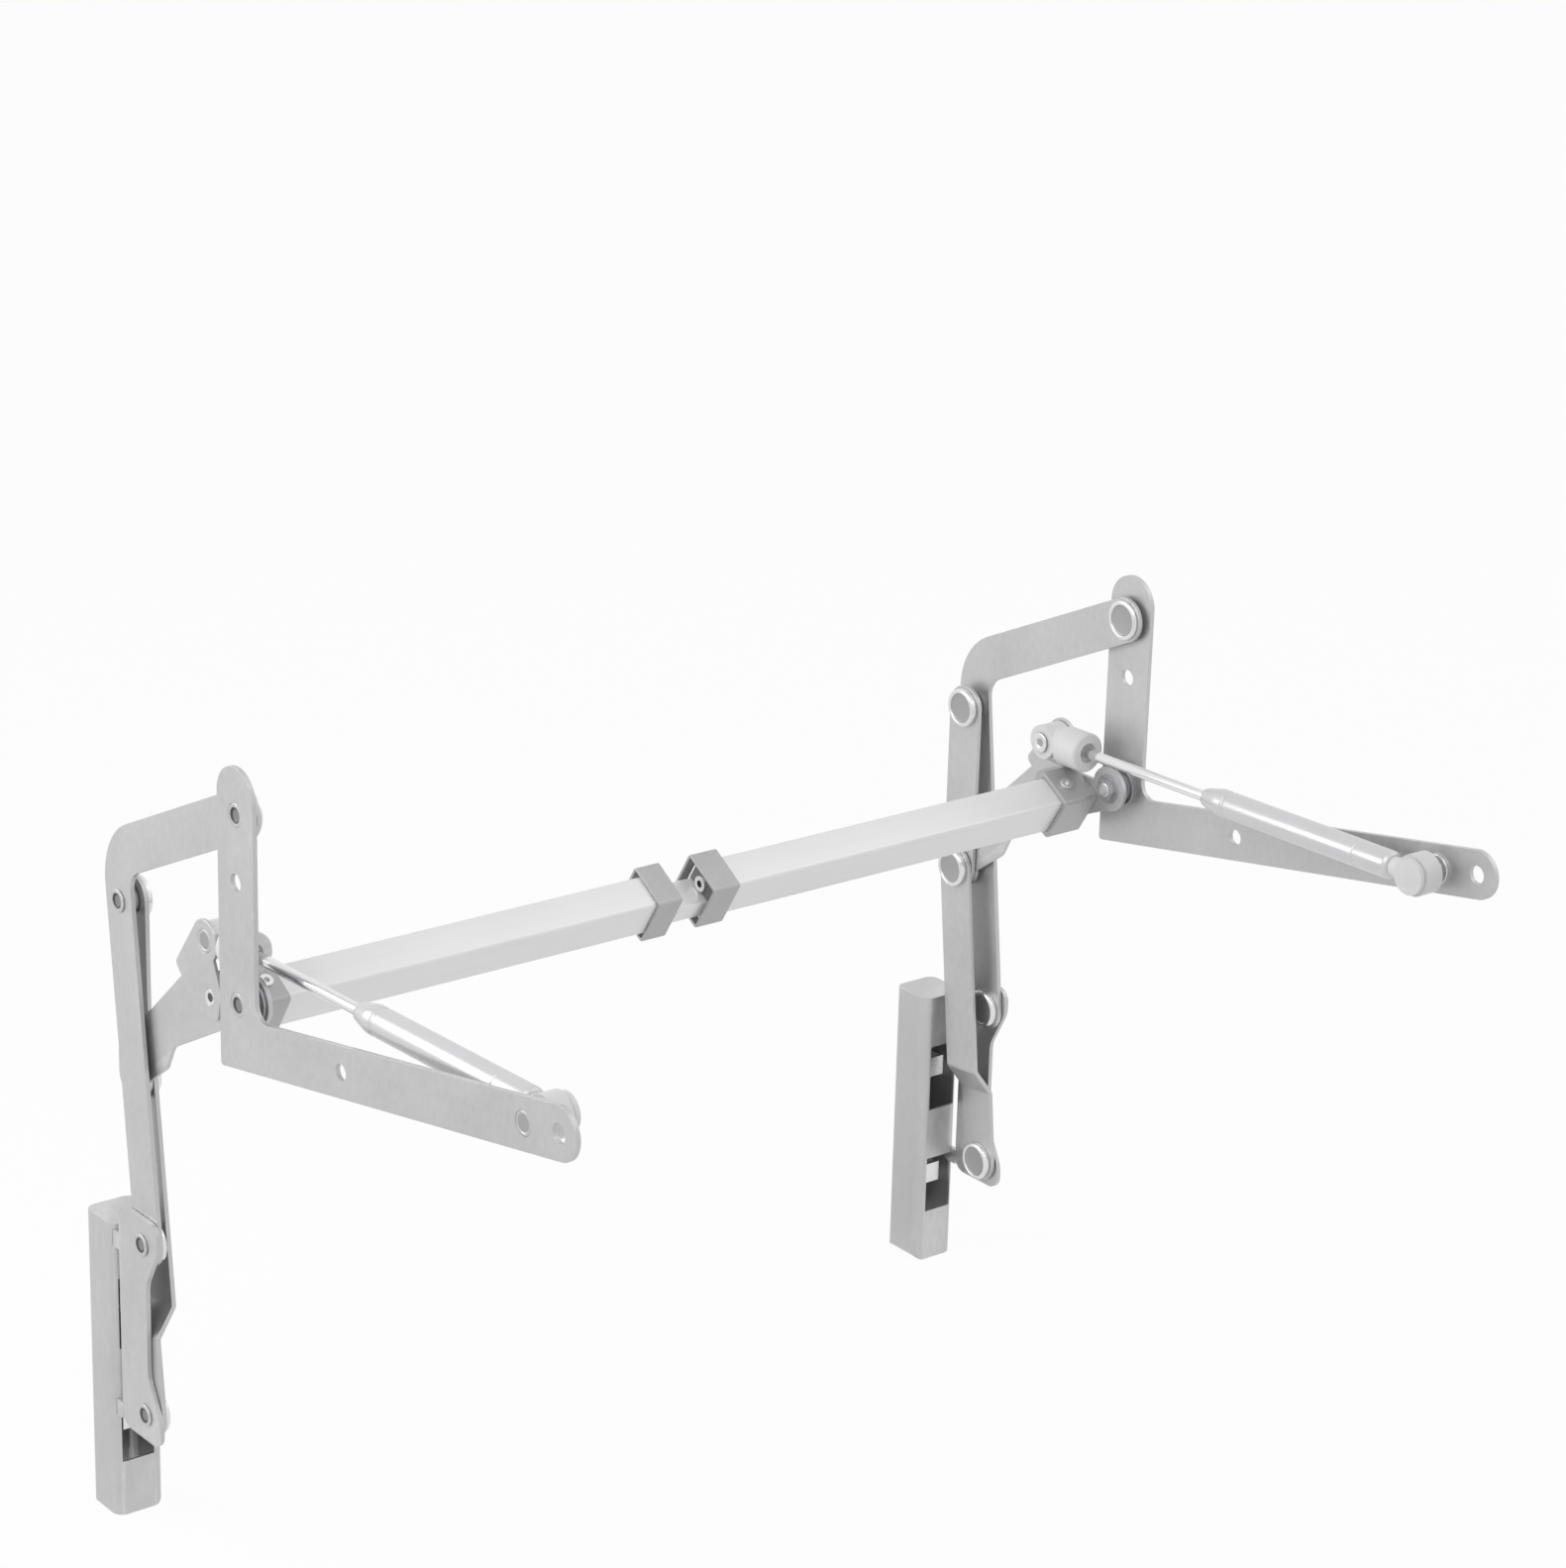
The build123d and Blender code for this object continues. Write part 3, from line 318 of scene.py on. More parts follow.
def make_materials():
    """Every finish of the hinge, and the painted shade of its hollows, by the record's slot names and a few more.
    """
    look = finish()
    rubbed = {"edge": look.zinc_edge, "edge_share": look.wear}
    return {
        "zinc_steel": surface(
            "Zinc plated sheet", look.zinc, metallic=0.8, roughness=look.sheet_roughness, grain=26.0,
            stretch=(1.0, 1.0, 0.7), tint=0.04, **rubbed),
        "rail_steel": surface(
            "Zinc plated rail", look.rail, metallic=0.8, roughness=look.sheet_roughness, grain=22.0,
            stretch=(1.0, 1.0, 0.35), tint=0.04, **rubbed),
        "bright_rivet": surface(
            "Turned rivet steel", look.rivet, metallic=0.95, roughness=0.27, grain=70.0, tint=0.05, relief=0.02,
            edge=(0.85, 0.85, 0.86), edge_share=look.wear),
        "small_steel": surface(
            "Plain small steel", look.small, metallic=0.95, roughness=0.32, grain=80.0, tint=0.07, relief=0.02,
            **rubbed),
        "grey_bracket": surface(
            "Satin grey bracket", look.bracket, metallic=0.55, roughness=0.44, grain=48.0, relief=0.05,
            rough_spread=0.07, edge=(0.62, 0.62, 0.63), edge_share=look.wear),
        "bar_silver": surface(
            "Drawn bar aluminium", look.bar, metallic=0.35, roughness=0.40, grain=20.0, stretch=(0.04, 1.0, 1.0),
            tint=0.025, edge=(0.92, 0.92, 0.92), edge_share=0.4),
        "spring_silver": surface(
            "Silver spring paint", look.spring, metallic=0.40, roughness=0.33, grain=30.0, tint=0.03, relief=0.02,
            rough_spread=0.04, coat=0.3),
        "polished_rod": surface(
            "Polished rod", look.rod, metallic=1.0, roughness=0.12, grain=40.0, stretch=(1.0, 0.05, 1.0),
            tint=0.02, relief=0.005, rough_spread=0.03),
        "pale_nylon": surface(
            "Moulded nylon", look.nylon, metallic=0.0, roughness=0.46, grain=90.0, tint=0.04, relief=0.06,
            edge=(0.60, 0.60, 0.61), edge_share=0.5),
        "head_recess": surface(
            "Rivet head recess", look.recess, metallic=0.9, roughness=0.42, tint=0.05, rough_spread=0.05),
        # Painted shade: the two dark finishes below stand in for the shade in rivet hollows, bracket rivet sinks
        # and screw sockets.
        "painted_shade_hollow": surface(
            "Rivet hollow painted shade", look.hollow, metallic=0.7, roughness=0.5, tint=0.1, rough_spread=0.05),
        "painted_shade_floor": surface(
            "Rivet hollow floor painted shade", look.hollow_floor_shade, metallic=0.8, roughness=0.45, tint=0.08, rough_spread=0.05),
        "clamp_block": surface(
            "Dark clamp block", look.clamp, metallic=0.3, roughness=0.5, tint=0.1, relief=0.05,
            rough_spread=0.08),
    }


MATERIALS = {}


def material_of(slot):
    """The finish for a slot, made the first time it is asked for."""
    if not MATERIALS:
        MATERIALS.update(make_materials())
    return MATERIALS[slot]


# Mesh helpers

def new_object(name, mesh):
    """Object at the origin that holds a mesh."""
    piece = bpy.data.objects.new(name, mesh)
    bpy.context.scene.collection.objects.link(piece)
    return piece


def settle(piece, body, node, slot, look=None):
    """Give a piece its finish and its body, and hide the node that it stands for."""
    piece.data.materials.clear()
    piece.data.materials.append(material_of(look or slot))
    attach(piece, body)
    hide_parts(node)
    return piece


def soft_edges(piece, width, angle=SHARP_SHEET):
    """Small rounding of every sharp edge, which catches the light as a stamped edge does."""
    bevel = piece.modifiers.new("Edge rounding", "BEVEL")
    bevel.width = width
    bevel.segments = 2
    bevel.limit_method = "ANGLE"
    bevel.angle_limit = angle
    bevel.harden_normals = True
    bevel.use_clamp_overlap = True


def dressed_copy(node, name, width, look=None):
    """Copy of a frame node with its edges rounded, in the node's own place."""
    mesh = frame["nodes"][node].data.copy()
    mesh.name = name
    shell = bmesh.new()
    shell.from_mesh(mesh)
    bmesh.ops.remove_doubles(shell, verts=shell.verts, dist=1e-6)
    bmesh.ops.dissolve_limit(shell, angle_limit=math.radians(0.3), verts=shell.verts, edges=shell.edges)
    for face in shell.faces:
        face.smooth = True
    shell.to_mesh(mesh)
    shell.free()
    piece = new_object(name, mesh)
    mesh.set_sharp_from_angle(angle=SHARP_SHEET)
    soft_edges(piece, width)
    return settle(piece, BODY_OF[node], node, SLOT_OF[node], look)


def eased(points, ease, steps=3, closed=False):
    """Profile with its inner corners rounded, each by as much as its shorter edge allows."""
    rounded = []
    count = len(points)
    for index, point in enumerate(points):
        here = Vector(point)
        if not closed and index in (0, count - 1):
            rounded.append(tuple(here))
            continue
        before = Vector(points[index - 1]) - here
        after = Vector(points[(index + 1) % count]) - here
        cut = min(ease, 0.45 * before.length, 0.45 * after.length)
        first = here + before.normalized() * cut
        last = here + after.normalized() * cut
        for step in range(steps + 1):
            t = step / steps
            spot = first * (1 - t) ** 2 + here * (2 * t * (1 - t)) + last * t ** 2
            rounded.append(tuple(spot))
    return rounded


def turned_mesh(name, profile, centre, axis, closed=False):
    """Mesh turned about an axis from (along, radius) points in metres."""
    around = shapes().around
    way = Vector(axis).normalized()
    across = way.orthogonal().normalized()
    third = way.cross(across)
    shell = bmesh.new()
    rings = []
    for along, radius in profile:
        base = Vector(centre) + way * along
        if radius < 1e-7:
            rings.append([shell.verts.new(base)])
            continue
        ring = []
        for index in range(around):
            turn = 2 * math.pi * index / around
            spoke = across * (radius * math.cos(turn)) + third * (radius * math.sin(turn))
            ring.append(shell.verts.new(base + spoke))
        rings.append(ring)
    pairs = list(zip(rings, rings[1:]))
    if closed:
        pairs.append((rings[-1], rings[0]))
    for low, high in pairs:
        for index in range(around):
            corner = [low[index % len(low)], low[(index + 1) % len(low)], high[(index + 1) % len(high)],
                      high[index % len(high)]]
            unique = list(dict.fromkeys(corner))
            if len(unique) > 2:
                shell.faces.new(unique)
    bmesh.ops.recalc_face_normals(shell, faces=shell.faces)
    for face in shell.faces:
        face.smooth = True
    mesh = bpy.data.meshes.new(name)
    shell.to_mesh(mesh)
    shell.free()
    mesh.set_sharp_from_angle(angle=SHARP_TURNED)
    return mesh


# Places read from the frame

def pivot(side, name):
    """Place of a joint's axis on one side, in metres."""
    return Vector(JOINTS[f"{side}_{name}"]["pos_m"])


def side_pivots(side):
    """The pivots of one side as (y, z)."""
    upper = pivot(side, "outer_swing")
    knee = pivot(side, "connector_turn")
    low_door = pivot(side, "door_turn")
    stud = pivot(side, "spring_turn")
    rear = pivot(side, "spring_slide")
    rise = upper.z
    return {
        "upper": (0.0, upper.z),
        "lower": (0.0, 0.0),
        "knee": (knee.y, knee.z),
        "elbow": (knee.y, knee.z + rise),
        "low_door": (low_door.y, low_door.z),
        "high_door": (low_door.y, low_door.z + rise),
        "stud": (stud.y, stud.z),
        "rear": (rear.y, rear.z),
    }


def span(node):
    """Lowest and highest X of a node."""
    low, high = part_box(node)
    return low[0], high[0]


def inward(side_sign):
    """Turn about Z that sends +X inward on a side."""
    return math.pi if side_sign > 0 else 0.0


def outer_x(node, sign):
    """X of a node's outer end on one side."""
    low, high = span(node)
    return high if sign > 0 else low


def inner_x(node, sign):
    """X of a node's inner end on one side."""
    low, high = span(node)
    return low if sign > 0 else high


# Node trees

def new_tree(name, inputs):
    """Tree that takes geometry, the named inputs and a finish; gives the tree and its input node."""
    tree = bpy.data.node_groups.new(name, "GeometryNodeTree")
    for label, kind, subtype in (("Geometry", "Geometry", None), *inputs, ("Finish", "Material", None)):
        socket = tree.interface.new_socket(label, in_out="INPUT", socket_type="NodeSocket" + kind)
        if subtype:
            socket.subtype = subtype
    tree.interface.new_socket("Geometry", in_out="OUTPUT", socket_type="NodeSocketGeometry")
    return tree, tree.nodes.new("NodeGroupInput")


def close_tree(tree, entry, geometry):
    """End a tree: realize its instances, set the finish and hand the geometry out."""
    real = fresh(tree, "GeometryNodeRealizeInstances", Geometry=geometry)
    paint = fresh(tree, "GeometryNodeSetMaterial", Geometry=real.outputs["Geometry"],
                  Material=entry.outputs["Finish"])
    fresh(tree, "NodeGroupOutput", Geometry=paint.outputs["Geometry"])
    return tree


def instance_tree(name):
    """Tree that puts one turned piece on every pivot point, turned to face inward."""
    tree, entry = new_tree(name, (("Piece", "Object", None), ("Turn", "Float", "ANGLE"), ("Size", "Float", None)))
    info = fresh(tree, "GeometryNodeObjectInfo", Object=entry.outputs["Piece"])
    spin = fresh(tree, "ShaderNodeCombineXYZ", Z=entry.outputs["Turn"])
    place = fresh(tree, "GeometryNodeInstanceOnPoints", Points=entry.outputs["Geometry"],
                  Instance=info.outputs["Geometry"], Rotation=spin.outputs["Vector"],
                  Scale=entry.outputs["Size"])
    return close_tree(tree, entry, place.outputs["Instances"])


def tube_tree(name):
    """Tree that sweeps a rounded hollow rectangle along Z, with named sizes."""
    tree, entry = new_tree(name, [(label, "Float", "DISTANCE")
                                  for label in ("Width", "Height", "Wall", "Corner", "Length")])
    width, height, wall, corner = (entry.outputs[label] for label in ("Width", "Height", "Wall", "Corner"))
    link = tree.links.new

    def outline(wide, tall, radius):
        shape = fresh(tree, "GeometryNodeCurvePrimitiveQuadrilateral", Width=wide, Height=tall)
        fillet = fresh(tree, "GeometryNodeFilletCurve", Curve=shape.outputs["Curve"], Radius=radius)
        fillet.mode = "POLY"
        fillet.inputs["Count"].default_value = 6
        return fillet.outputs["Curve"]

    twice = maths(tree, "MULTIPLY", wall, 2.0)
    outer = outline(width, height, corner)
    inner = outline(maths(tree, "SUBTRACT", width, twice), maths(tree, "SUBTRACT", height, twice),
                    maths(tree, "MULTIPLY", corner, 0.5))
    both = tree.nodes.new("GeometryNodeJoinGeometry")
    link(inner, both.inputs["Geometry"])
    link(outer, both.inputs["Geometry"])
    face = fresh(tree, "GeometryNodeFillCurve", Curve=both.outputs["Geometry"])
    way = fresh(tree, "ShaderNodeCombineXYZ", Z=1.0)
    raised = fresh(tree, "GeometryNodeExtrudeMesh", Mesh=face.outputs["Mesh"], Offset=way.outputs["Vector"],
                   Offset_Scale=entry.outputs["Length"], Individual=False)
    raised.mode = "FACES"
    back = fresh(tree, "GeometryNodeFlipFaces", Mesh=face.outputs["Mesh"])
    whole = tree.nodes.new("GeometryNodeJoinGeometry")
    link(back.outputs["Mesh"], whole.inputs["Geometry"])
    link(raised.outputs["Mesh"], whole.inputs["Geometry"])
    merge = fresh(tree, "GeometryNodeMergeByDistance", Geometry=whole.outputs["Geometry"], Distance=1e-6)
    return close_tree(tree, entry, merge.outputs["Geometry"])


TREES = {}


def grown(name, tree_name, maker, base, values):
    """Run a node tree on a base mesh and keep its result as a plain, smoothly shaded mesh."""
    if tree_name not in TREES:
        TREES[tree_name] = maker(tree_name)
    tree = TREES[tree_name]
    seed = new_object(name + "_seed", base)
    modifier = seed.modifiers.new("Growth", "NODES")
    modifier.node_group = tree
    for item in tree.interface.items_tree:
        if item.item_type == "SOCKET" and item.in_out == "INPUT" and item.name in values:
            modifier[item.identifier] = values[item.name]
    seed.update_tag()
    bpy.context.view_layer.update()
    graph = bpy.context.evaluated_depsgraph_get()
    mesh = bpy.data.meshes.new_from_object(seed.evaluated_get(graph), depsgraph=graph)
    mesh.name = name
    bpy.data.objects.remove(seed)
    for polygon in mesh.polygons:
        polygon.use_smooth = True
        polygon.material_index = 0
    mesh.set_sharp_from_angle(angle=SHARP_TURNED)
    return new_object(name, mesh)


# Turned pieces

def turned_piece(node, name, profile, centre, axis, slot, closed=False):
    """One turned piece in place of a node."""
    mesh = turned_mesh(name, profile, centre, axis, closed)
    return settle(new_object(name, mesh), BODY_OF[node], node, slot)


def on_points(node, turned, points, turn, slot):
    """Instances of one turned mesh on the given points, realised as one piece in place of a node."""
    name = node + "_turned"
    base = bpy.data.meshes.new(name + "_points")
    base.from_pydata([tuple(point) for point in points], [], [])
    tool = new_object(name + "_tool", turned)
    piece = grown(name, "Pieces on pivots", instance_tree, base,
                  {"Piece": tool, "Turn": turn, "Size": 1.0, "Finish": material_of(slot)})
    bpy.data.objects.remove(tool)
    return settle(piece, BODY_OF[node], node, slot)


def hollow_foot(start=0.0):
    """Outline of a hollow foot up to its shank."""
    size = shapes()
    floor = start + size.hollow_depth
    return [(floor, 0.0), (floor, size.hollow - size.hollow_slope), (start, size.hollow), (start, size.foot),
            (start + size.foot_height, size.foot), (start + size.foot_height, size.shank)]


def dished_foot():
    """Outline of a stud's flush foot with a shallow dish, up to its shank."""
    size = shapes()
    return [(size.stud_dish_depth, 0.0), (size.stud_dish_depth, size.stud_dish),
            (0.0, size.stud_dish + size.stud_dish_slope), (0.0, size.foot), (size.foot_height, size.foot),
            (size.foot_height, size.shank)]


def rivet_profile(grip, head_height, flush=False):
    """Hollow foot, shank and dished head of a rivet, from its foot inward along +X."""
    size = shapes()
    rim = size.head - size.head_rim
    tip = grip + head_height
    floor = tip - size.head_dish
    return eased([
        *hollow_foot(0.0 if flush else -size.foot_height), (grip, size.shank), (grip, size.head),
        (tip - 0.2 * head_height, size.head), (tip, size.head - 0.5 * size.head_rim), (tip, rim),
        (floor, rim - 0.5 * size.head_dish), (floor, 0.0),
    ], size.turned_edge)


# Finishes, painted shade and painted light within a piece

def shaded_hollows_and_dull_recesses(piece, spots, sign, hollow="painted_shade_hollow", bottom="painted_shade_floor"):
    """Give the hollow of each foot a dark painted shade unless other finishes are given, and the recess of each
    head and the foot's ring their duller finishes.
    """
    size = shapes()
    # Slots 1 and 4 hold the hollow's wall and floor, painted shade unless other finishes are given.
    wall, recess, ring, floor = 1, 2, 3, 4
    for slot in (hollow, "head_recess", "zinc_steel", bottom):
        piece.data.materials.append(material_of(slot))
    along = [vertex.co.x * sign for vertex in piece.data.vertices]
    outer, inner = max(along), min(along)
    for polygon in piece.data.polygons:
        middle = polygon.center
        away = min(math.hypot(middle.y - y, middle.z - z) for y, z in spots)
        depth = outer - middle.x * sign
        if away < size.hollow - 0.9 * size.hollow_slope and depth < size.hollow_depth + CLOSE:
            polygon.material_index = floor
        elif away < size.hollow and CLOSE < depth < size.hollow_depth + CLOSE:
            polygon.material_index = wall
        elif (inner + 0.5 * size.head_dish < middle.x * sign < inner + 1.5 * size.head_dish
              and away < size.head - size.head_rim - CLOSE):
            polygon.material_index = recess
        elif depth < size.foot_height + CLOSE:
            polygon.material_index = ring


def islands(shell):
    """Connected groups of faces."""
    left = set(shell.faces)
    while left:
        front = [left.pop()]
        group = []
        while front:
            face = front.pop()
            group.append(face)
            near = {other for edge in face.edges for other in edge.link_faces} & left
            left -= near
            front.extend(near)
        yield group


def sunk_end(piece, sign, inset, depth, slot):
    """Sink the flat end that lies farthest out on a side, and give its floor another finish, such as the painted
    shade of a hollow.
    """
    piece.data.materials.append(material_of(slot))
    shell = bmesh.new()
    shell.from_mesh(piece.data)
    outer = max(vertex.co.x * sign for vertex in shell.verts)
    ends = [face for face in shell.faces
            if face.normal.x * sign > 0.99 and face.calc_center_median().x * sign > outer - CLOSE]
    bmesh.ops.inset_individual(shell, faces=ends, thickness=inset, depth=-depth)
    for face in ends:
        face.material_index = 1
    shell.to_mesh(piece.data)
    shell.free()


def bright_screws_shaded_sockets(piece, reach, socket):
    """Give the small islands of a piece a bright finish, and the sockets in them a dark painted shade."""
    for slot in ("bright_rivet", "painted_shade_hollow"):
        piece.data.materials.append(material_of(slot))
    shell = bmesh.new()
    shell.from_mesh(piece.data)
    for group in islands(shell):
        spots = [vertex.co for face in group for vertex in face.verts]
        low = [min(spot[axis] for spot in spots) for axis in (1, 2)]
        high = [max(spot[axis] for spot in spots) for axis in (1, 2)]
        if max(high[0] - low[0], high[1] - low[1]) > reach:
            continue
        middle = ((low[0] + high[0]) / 2, (low[1] + high[1]) / 2)
        for face in group:
            away = max(math.hypot(vertex.co.y - middle[0], vertex.co.z - middle[1]) for vertex in face.verts)
            # Sockets get painted shade, the dark finish of a hollow.
            face.material_index = 2 if away < socket else 1
    shell.to_mesh(piece.data)
    shell.free()


def hooks_painted_lit(piece, strip):
    """Paint light on what stands in front of the slider's strip: a bright finish stands in for the light that
    catches the hooks.
    """
    piece.data.materials.append(material_of("bright_rivet"))
    back = min(vertex.co.y for vertex in piece.data.vertices)
    for polygon in piece.data.polygons:
        if polygon.center.y > back + strip:
            polygon.material_index = 1


# Pieces

class HINGE_OT_sheets(Operator):
    """Side plates, arms, links and ears: stamped sheet with rounded edges"""
    bl_idname = "hinge.sheets"
    bl_label = "Sheet Pieces"

    def execute(self, context):
        for side, _ in SIDES:
            for node in ("side_plate", "bent_arm", "lower_arm", "spring_plate", "upper_link", "door_link",
                         "door_ear"):
                dressed_copy(f"{side}_{node}", f"{side}_{node}_sheet", shapes().sheet_edge)
        return {"FINISHED"}


class HINGE_OT_rails(Operator):
    """Door rails and the sliders behind their windows"""
    bl_idname = "hinge.rails"
    bl_label = "Door Rails"

    def execute(self, context):
        size = shapes()
        for side, _ in SIDES:
            dressed_copy(f"{side}_door_rail", f"{side}_door_rail_box", size.sheet_edge)
            slider = dressed_copy(f"{side}_rail_slider", f"{side}_rail_slider_hook", size.tube_edge, "small_steel")
            # The slider's hooks get painted light, a brighter finish than the strip behind them.
            hooks_painted_lit(slider, size.strip)
        return {"FINISHED"}


class HINGE_OT_rivets(Operator):
    """Rivets of every pivot, turned with a hollow foot and a dished head"""
    bl_idname = "hinge.rivets"
    bl_label = "Rivets"

    def execute(self, context):
        size = shapes()
        for side, sign in SIDES:
            spots = side_pivots(side)
            for node, at in (("elbow_rivet", ("elbow",)), ("knee_rivet", ("knee",)),
                             ("door_rivets", ("high_door", "low_door"))):
                full = f"{side}_{node}"
                outer = outer_x(full, sign) - sign * size.foot_height
                grip = abs(inner_x(full, sign) - outer) - size.head_height
                turned = turned_mesh(full + "_turned", rivet_profile(grip, size.head_height), (0, 0, 0), (1, 0, 0))
                piece = on_points(full, turned, [(outer, *spots[spot]) for spot in at], inward(sign),
                                  "bright_rivet")
                shaded_hollows_and_dull_recesses(piece, [spots[spot] for spot in at], sign)
        return {"FINISHED"}


class HINGE_OT_studs(Operator):
    """Pivots of the side plates, and the studs that carry the springs"""
    bl_idname = "hinge.studs"
    bl_label = "Plate Pivots and Studs"

    def execute(self, context):
        size = shapes()
        for side, sign in SIDES:
            spots = side_pivots(side)
            pivots = f"{side}_plate_pivots"
            wall = outer_x(pivots, sign)
            grip = abs(wall - inner_x(f"{side}_bent_arm", sign))
            bolt_length = abs(wall - inner_x(f"{side}_pivot_nut", sign))
            stop = abs(wall - outer_x(f"{side}_tube_end", sign)) - size.stud_gap
            bolt = eased([*hollow_foot(), (bolt_length, size.shank), (bolt_length, 0.0)], size.turned_edge)
            stud = eased([*dished_foot(), (size.collar_start, size.shank), (size.collar_start, size.collar),
                          (size.collar_end, size.collar), (size.collar_end, size.stud_neck),
                          (stop, size.stud_neck), (stop, 0.0)], size.turned_edge)
            for name, profile, dull in (("upper", rivet_profile(grip, size.pivot_head_height, True), ()),
                                        ("lower", bolt, ()), ("rear", stud, ("head_recess", "head_recess"))):
                kind = "stud" if name == "rear" else "pivot"
                piece = turned_piece(pivots, f"{side}_{name}_{kind}_turned", profile, (wall, *spots[name]),
                                     (-sign, 0, 0), "bright_rivet")
                shaded_hollows_and_dull_recesses(piece, [spots[name]], sign, *dull)
            front = f"{side}_spring_front_stud"
            start = outer_x(front, sign)
            end = abs(inner_x(front, sign) - start)
            under = end - size.button_height
            dish = end - size.button_dish_depth
            profile = eased([*dished_foot(), (under, size.shank), (under, size.button), (end, size.button),
                             (end, size.button_dish), (dish, size.button_dish - size.button_dish_slope),
                             (dish, 0.0)], size.turned_edge)
            piece = turned_piece(front, f"{side}_front_stud_turned", profile, (start, *spots["stud"]),
                                 (-sign, 0, 0), "bright_rivet")
            shaded_hollows_and_dull_recesses(piece, [spots["stud"]], sign, "head_recess", "head_recess")
        return {"FINISHED"}


class HINGE_OT_washers(Operator):
    """Washers and spacer sleeves between the moving layers"""
    bl_idname = "hinge.washers"
    bl_label = "Washers and Spacers"

    def execute(self, context):
        size = shapes()
        bore = size.shank + size.play
        for side, sign in SIDES:
            spots = side_pivots(side)
            for node, at, radius in (("elbow_spacer", ("elbow",), size.sleeve),
                                     ("door_washers", ("high_door", "low_door"), size.washer)):
                full = f"{side}_{node}"
                outer = outer_x(full, sign)
                thick = abs(inner_x(full, sign) - outer)
                profile = eased([(0.0, bore), (0.0, radius), (thick, radius), (thick, bore)], 0.3 * thick,
                                closed=True)
                turned = turned_mesh(full + "_turned", profile, (0, 0, 0), (1, 0, 0), closed=True)
                on_points(full, turned, [(outer, *spots[spot]) for spot in at], inward(sign), "small_steel")
            for node, edge in (("plate_spacers", size.spacer_edge), ("knee_washers", size.thin_edge),
                               ("pivot_nut", size.spacer_edge)):
                dressed_copy(f"{side}_{node}", f"{side}_{node}_turned", edge)
        return {"FINISHED"}


class HINGE_OT_bar(Operator):
    """Telescopic cross bar with its collars, clamps and end brackets"""
    bl_idname = "hinge.bar"
    bl_label = "Cross Bar"

    def tube(self, node, width, height, wall, corner, centre, turn, slot="bar_silver"):
        """One hollow rectangle along X in place of a node."""
        low, high = span(node)
        base = bpy.data.meshes.new(node + "_base")
        piece = grown(node + "_drawn", "Hollow rectangle", tube_tree, base,
                      {"Width": width, "Height": height, "Wall": wall, "Corner": corner, "Length": high - low,
                       "Finish": material_of(slot)})
        upright = Matrix(((0, 0, 1, 0), (1, 0, 0, 0), (0, 1, 0, 0), (0, 0, 0, 1)))
        place = Matrix.Translation((low, *centre)) @ Matrix.Rotation(turn, 4, "X") @ upright
        piece.data.transform(place)
        soft_edges(piece, shapes().tube_edge, math.radians(50))
        settle(piece, BODY_OF[node], node, slot)

    def execute(self, context):
        size = shapes()
        sizes = context.scene.hinge_bar
        low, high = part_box("bar_tube_right")
        centre = ((low[1] + high[1]) / 2, (low[2] + high[2]) / 2)
        for node in ("bar_tube_right", "bar_tube_left"):
            self.tube(node, sizes.across, sizes.tall, sizes.wall, sizes.corner, centre, sizes.turn)
        bore_across = sizes.across - 2 * sizes.wall
        bore_tall = sizes.tall - 2 * sizes.wall
        drop = sizes.inner_play + sizes.inner_tall / 2 - bore_tall / 2
        moved = Matrix.Rotation(sizes.turn, 2) @ Vector((0.0, drop))
        self.tube("bar_inner_tube", bore_across - 2 * sizes.inner_play, sizes.inner_tall, sizes.inner_wall,
                  sizes.inner_corner, (centre[0] + moved.x, centre[1] + moved.y), sizes.turn)
        for node in ("bar_collar_right", "bar_collar_left"):
            dressed_copy(node, node + "_folded", size.collar_edge)
        for side, sign in SIDES:
            dressed_copy(f"{side}_bar_bracket", f"{side}_bar_bracket_formed", size.bracket_edge)
            fixings = dressed_copy(f"{side}_bracket_fixings", f"{side}_bracket_fixings_turned", size.tube_edge,
                                   "bright_rivet")
            # The sunk floor of each bracket rivet gets painted shade, the dark finish of a hollow.
            sunk_end(fixings, sign, sizes.rivet_ring, sizes.rivet_sink, "painted_shade_hollow")
        clamps = dressed_copy("bar_clamps", "bar_clamps_block", size.tube_edge, "clamp_block")
        bright_screws_shaded_sockets(clamps, sizes.screw_reach, sizes.screw_socket)
        return {"FINISHED"}


